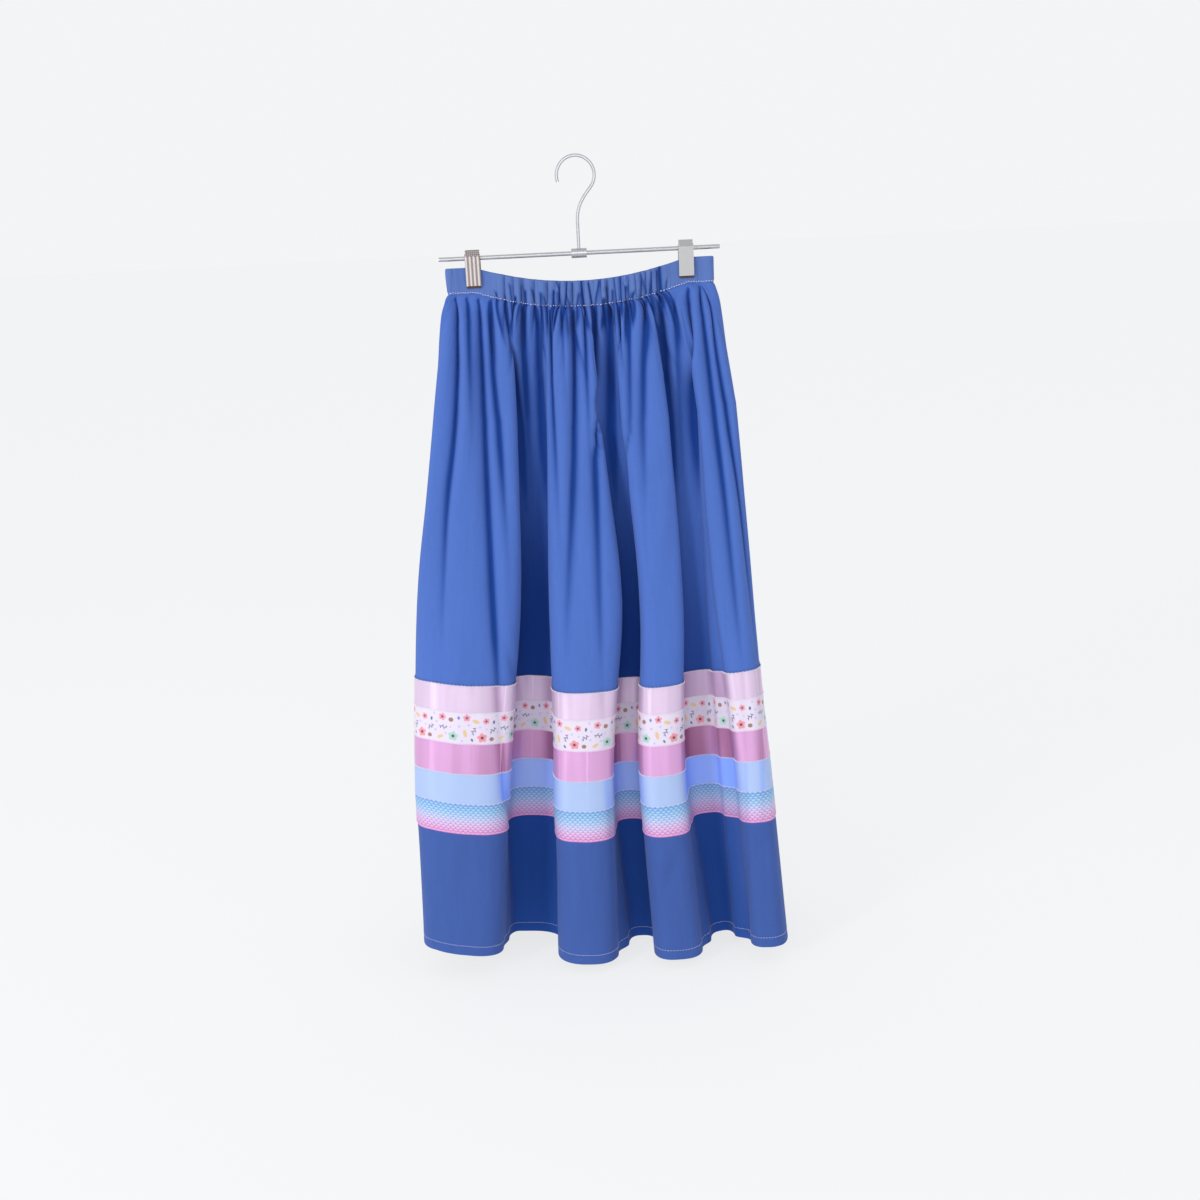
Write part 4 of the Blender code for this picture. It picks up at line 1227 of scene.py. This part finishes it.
# ---------------------------------------------------------------- operators
class SkirtSettings(bpy.types.PropertyGroup):
    """Sizes and colours of the skirt."""

    gather_depth: bpy.props.FloatProperty(
        name="Gather Depth", description="How deep the gathers and soft folds are", default=1.0,
        min=0.0, max=1.5, subtype="FACTOR")
    cotton_colour: bpy.props.FloatVectorProperty(
        name="Cotton", description="The cotton's colour in the light", subtype="COLOR", size=3,
        default=(0.064, 0.139, 0.462), min=0, max=1)
    # the cotton's painted shade, the colour it is given deep in a fold
    cotton_painted_shade: bpy.props.FloatVectorProperty(
        name="Cotton in Folds", description="The cotton's colour deep in a fold", subtype="COLOR",
        size=3, default=(0.0026, 0.036, 0.222), min=0, max=1)
    pale_pink: bpy.props.FloatVectorProperty(
        name="Pale Pink", description="The first ribbon's colour", subtype="COLOR", size=3,
        default=(0.625, 0.490, 0.665), min=0, max=1)
    rose: bpy.props.FloatVectorProperty(
        name="Rose", description="The third ribbon's colour", subtype="COLOR", size=3,
        default=(0.62, 0.33, 0.60), min=0, max=1)
    sky_blue: bpy.props.FloatVectorProperty(
        name="Sky Blue", description="The fourth ribbon's colour", subtype="COLOR", size=3,
        default=(0.36, 0.472, 0.745), min=0, max=1)
    stitch_width: bpy.props.FloatProperty(
        name="Thread", description="Thickness of the sewing thread", default=0.0008,
        min=0.0002, max=0.002, unit="LENGTH")


def dress(made, node):
    """Puts a finished piece on the part's body, in place of its solid."""
    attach(made, "root")
    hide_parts(node)
    return made


class SKIRT_OT_casing(bpy.types.Operator):
    """Makes the gathered casing of the elastic, front and back"""

    bl_idname = "skirt.casing"
    bl_label = "Waist Casing"

    def execute(self, context):
        rows = [r for r, drop in enumerate(ROWS) if drop <= CASING_DROP]
        drops = ROWS[rows]
        rise = np.sqrt(np.clip(1 - (1 - np.clip(drops / 0.0016, 0, 1)) ** 2, 0, 1))
        close = 1 - 0.45 * ease((drops - CASING_DROP + 0.004) / 0.004)
        offset = CASING_WALL / 2 * rise * close + 0.00005
        for half, side in enumerate(("front", "back")):
            name = f"waist_casing_{side}"
            dress(shell(name + "_cloth", half, rows, -offset, offset, finish_of("casing_cotton")),
                  name)
        return {"FINISHED"}


class SKIRT_OT_panels(bpy.types.Operator):
    """Makes the front and back panels and the turned-up hem inside them"""

    bl_idname = "skirt.panels"
    bl_label = "Panels"

    def execute(self, context):
        rows = list(range(row_at(CASING_DROP), len(ROWS)))
        hem = list(range(row_at(LENGTH - HEM_TURN), len(ROWS)))
        wall = CLOTH_SHELL / 2
        for half, side in enumerate(("front", "back")):
            turned = shell(f"hem_turn_{side}_cloth", half, hem, -3 * wall - 0.0002, -wall - 0.0002,
                           finish_of("blue_cotton"))
            dress(turned, f"hem_turn_{side}")
            panel = shell(f"panel_{side}_cloth", half, rows, -wall, wall, finish_of("blue_cotton"))
            dress(panel, f"panel_{side}")
        return {"FINISHED"}


class SKIRT_OT_ribbons(bpy.types.Operator):
    """Makes the five ribbons, front and back"""

    bl_idname = "skirt.ribbons"
    bl_label = "Ribbons"

    def execute(self, context):
        finishes = ("satin_pale_pink", "floral_print", "satin_rose", "matt_sky_blue", "scale_print")
        for ribbon, finish in zip(RIBBONS, finishes):
            rows = list(range(row_at(ribbon["top"]), row_at(ribbon["foot"]) + 1))
            for half, side in enumerate(("front", "back")):
                name = f"{ribbon['name']}_{side}"
                made = shell(name + "_cloth", half, rows, RIBBON_LIFT, RIBBON_LIFT + RIBBON_SHELL,
                             finish_of(finish))
                dress(made, name)
        return {"FINISHED"}


class SKIRT_OT_stitches(bpy.types.Operator):
    """Sews the ribbons' edges, the casing and the hem"""

    bl_idname = "skirt.stitches"
    bl_label = "Stitches"

    def execute(self, context):
        width = context.scene.ribbon_skirt.stitch_width
        top = RIBBON_LIFT + RIBBON_SHELL + 0.00025
        on_cotton = CLOTH_SHELL / 2
        one, two, three, four, five = RIBBONS
        edges = (zigzag(one["top"] + 0.0002, top, pitch=0.0044, height=0.0030),
                 zigzag(one["foot"], top, pitch=0.0044, height=0.0026, phase=0.3),
                 zigzag(three["foot"], top, pitch=0.0044, height=0.0024, phase=0.6))
        over_rose = zigzag(two["foot"], top, pitch=0.0042, height=0.0022, phase=0.1)
        over_scale = zigzag(four["foot"], top, pitch=0.0042, height=0.0018)
        under_scale = running(five["foot"] - 0.0014, top, pitch=0.0030, fill=0.75)
        overcast = running(one["top"] - 0.0018, on_cotton + 0.0002, pitch=0.0044, fill=0.40,
                           waver=0.0003)
        hem = running(LENGTH - HEM_TURN, on_cotton + 0.0001, pitch=0.0034, fill=0.72,
                      waver=0.0001)
        casing = running(CASING_DROP - 0.0018, CASING_WALL * 0.40, pitch=0.0080, fill=0.58,
                         waver=0.0005)
        seams = table(
            "name line wide high thread slot",
            ("ribbon_edge_stitches", [np.concatenate(v) for v in zip(*edges)],
             1.0, 1.0, "white_thread", "ribbon_floral"),
            ("rose_edge_stitches", over_rose, 1.0, 1.0, "pink_thread", "ribbon_rose"),
            ("scale_edge_stitches", over_scale, 0.8, 0.8, "white_thread", "ribbon_scale"),
            ("scale_foot_stitches", under_scale, 0.8, 0.8, "pink_thread", "ribbon_scale"),
            ("overcast_stitches", overcast, 1.1, 0.6, "navy_thread", "blue_cotton"),
            ("hem_stitches", hem, 0.8, 0.6, "white_thread", "blue_cotton"),
            ("casing_stitches", casing, 1.5, 1.0, "white_thread", "blue_cotton"),
        )
        for seam in seams:
            lay_stitches(seam["name"], *seam["line"], width * seam["wide"], width * seam["high"],
                         finish_of(seam["thread"]), seam["slot"])
        return {"FINISHED"}


class SKIRT_OT_hanger(bpy.types.Operator):
    """Gives the hanger and its clips their steel and rubber"""

    bl_idname = "skirt.hanger"
    bl_label = "Hanger and Clips"

    def execute(self, context):
        for name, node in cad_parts.items():
            if "_pad_" in name:
                finish = finish_of("dark_rubber")
            elif name.startswith("clip_left"):
                finish = finish_of("ribbed_steel")
            elif name.startswith("clip_right"):
                finish = finish_of("clip_steel")
            elif name.startswith("hanger_"):
                finish = finish_of("satin_steel")
            else:
                continue
            for slot in node.material_slots:
                slot.material = finish
        return {"FINISHED"}


def lay_floor():
    """A pale, faintly glowing floor under the hem."""
    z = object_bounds()[0].z - FLOOR_BELOW
    corners = [(x * FLOOR_HALF, y * FLOOR_HALF, z) for x, y in ((-1, -1), (1, -1), (1, 1), (-1, 1))]
    mesh = bpy.data.meshes.new("floor")
    mesh.from_pydata(corners, [], [(0, 1, 2, 3)])
    mesh.materials.append(Recipe("pale_floor").finish(
        FLOOR_TINT, Roughness=0.9, Emission_Color=(0.975, 0.985, 1.0, 1.0),
        Emission_Strength=FLOOR_GLOW, Specular_IOR_Level=0.0))
    link(bpy.data.objects.new("floor", mesh))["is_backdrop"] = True


def studio_sky():
    """An even pale light from all sides."""
    world = bpy.data.worlds.new("studio")
    world.use_nodes = True
    sky = world.node_tree.nodes["Background"]
    sky.inputs["Color"].default_value = rgba(SKY_TINT)
    sky.inputs["Strength"].default_value = SKY_GLOW
    return world


def hang_lamp(lamp):
    """One round lamp, turned to the skirt."""
    light = bpy.data.lights.new(lamp["name"], "AREA")
    light.shape = "DISK"
    light.size = lamp["size"]
    light.energy = lamp["power"]
    light.color = lamp["colour"]
    made = link(bpy.data.objects.new(lamp["name"], light))
    made.location = lamp["place"]
    aim = Vector(LAMP_AIM) - Vector(lamp["place"])
    made.rotation_euler = aim.to_track_quat("-Z", "Y").to_euler()


def place_camera():
    """The camera, a little above the waist and looking down at the skirt."""
    camera = bpy.data.cameras.new("camera")
    camera.sensor_width = CAMERA_SENSOR
    camera.lens = CAMERA_LENS
    camera.shift_x = CAMERA_SHIFT
    made = link(bpy.data.objects.new("camera", camera))
    pitch, roll = math.radians(CAMERA_PITCH), math.radians(CAMERA_ROLL)
    forward = Vector((0, math.cos(pitch), math.sin(pitch)))
    turn = forward.to_track_quat("-Z", "Y").to_matrix().to_4x4()
    made.matrix_world = Matrix.Translation(CAMERA_PLACE) @ turn @ Matrix.Rotation(roll, 4, "Z")
    return made


class SKIRT_OT_stage(bpy.types.Operator):
    """Sets the floor, the light and the camera"""

    bl_idname = "skirt.stage"
    bl_label = "Floor, Light and Camera"

    def execute(self, context):
        context.scene.view_settings.view_transform = "Standard"
        lay_floor()
        context.scene.world = studio_sky()
        for lamp in LAMPS:
            hang_lamp(lamp)
        context.scene.camera = place_camera()
        return {"FINISHED"}


class SKIRT_PT_panel(bpy.types.Panel):
    """Lists the skirt's settings and steps"""

    bl_idname = "SKIRT_PT_panel"
    bl_label = "Ribbon Skirt"
    bl_space_type = "VIEW_3D"
    bl_region_type = "UI"
    bl_category = "Skirt"

    def draw(self, context):
        settings = context.scene.ribbon_skirt
        for name in SkirtSettings.__annotations__:
            self.layout.prop(settings, name)
        for step in STEPS:
            self.layout.operator(step.bl_idname)


STEPS = (SKIRT_OT_casing, SKIRT_OT_panels, SKIRT_OT_ribbons, SKIRT_OT_stitches, SKIRT_OT_hanger,
         SKIRT_OT_stage)
CLASSES = (SkirtSettings, *STEPS, SKIRT_PT_panel)


def register():
    for kind in CLASSES:
        bpy.utils.register_class(kind)
    bpy.types.Scene.ribbon_skirt = bpy.props.PointerProperty(type=SkirtSettings)


def unregister():
    del bpy.types.Scene.ribbon_skirt
    for kind in reversed(CLASSES):
        bpy.utils.unregister_class(kind)


def main():
    register()
    for step in STEPS:
        group, name = step.bl_idname.split(".")
        getattr(getattr(bpy.ops, group), name)()


if __name__ == "__main__":
    main()
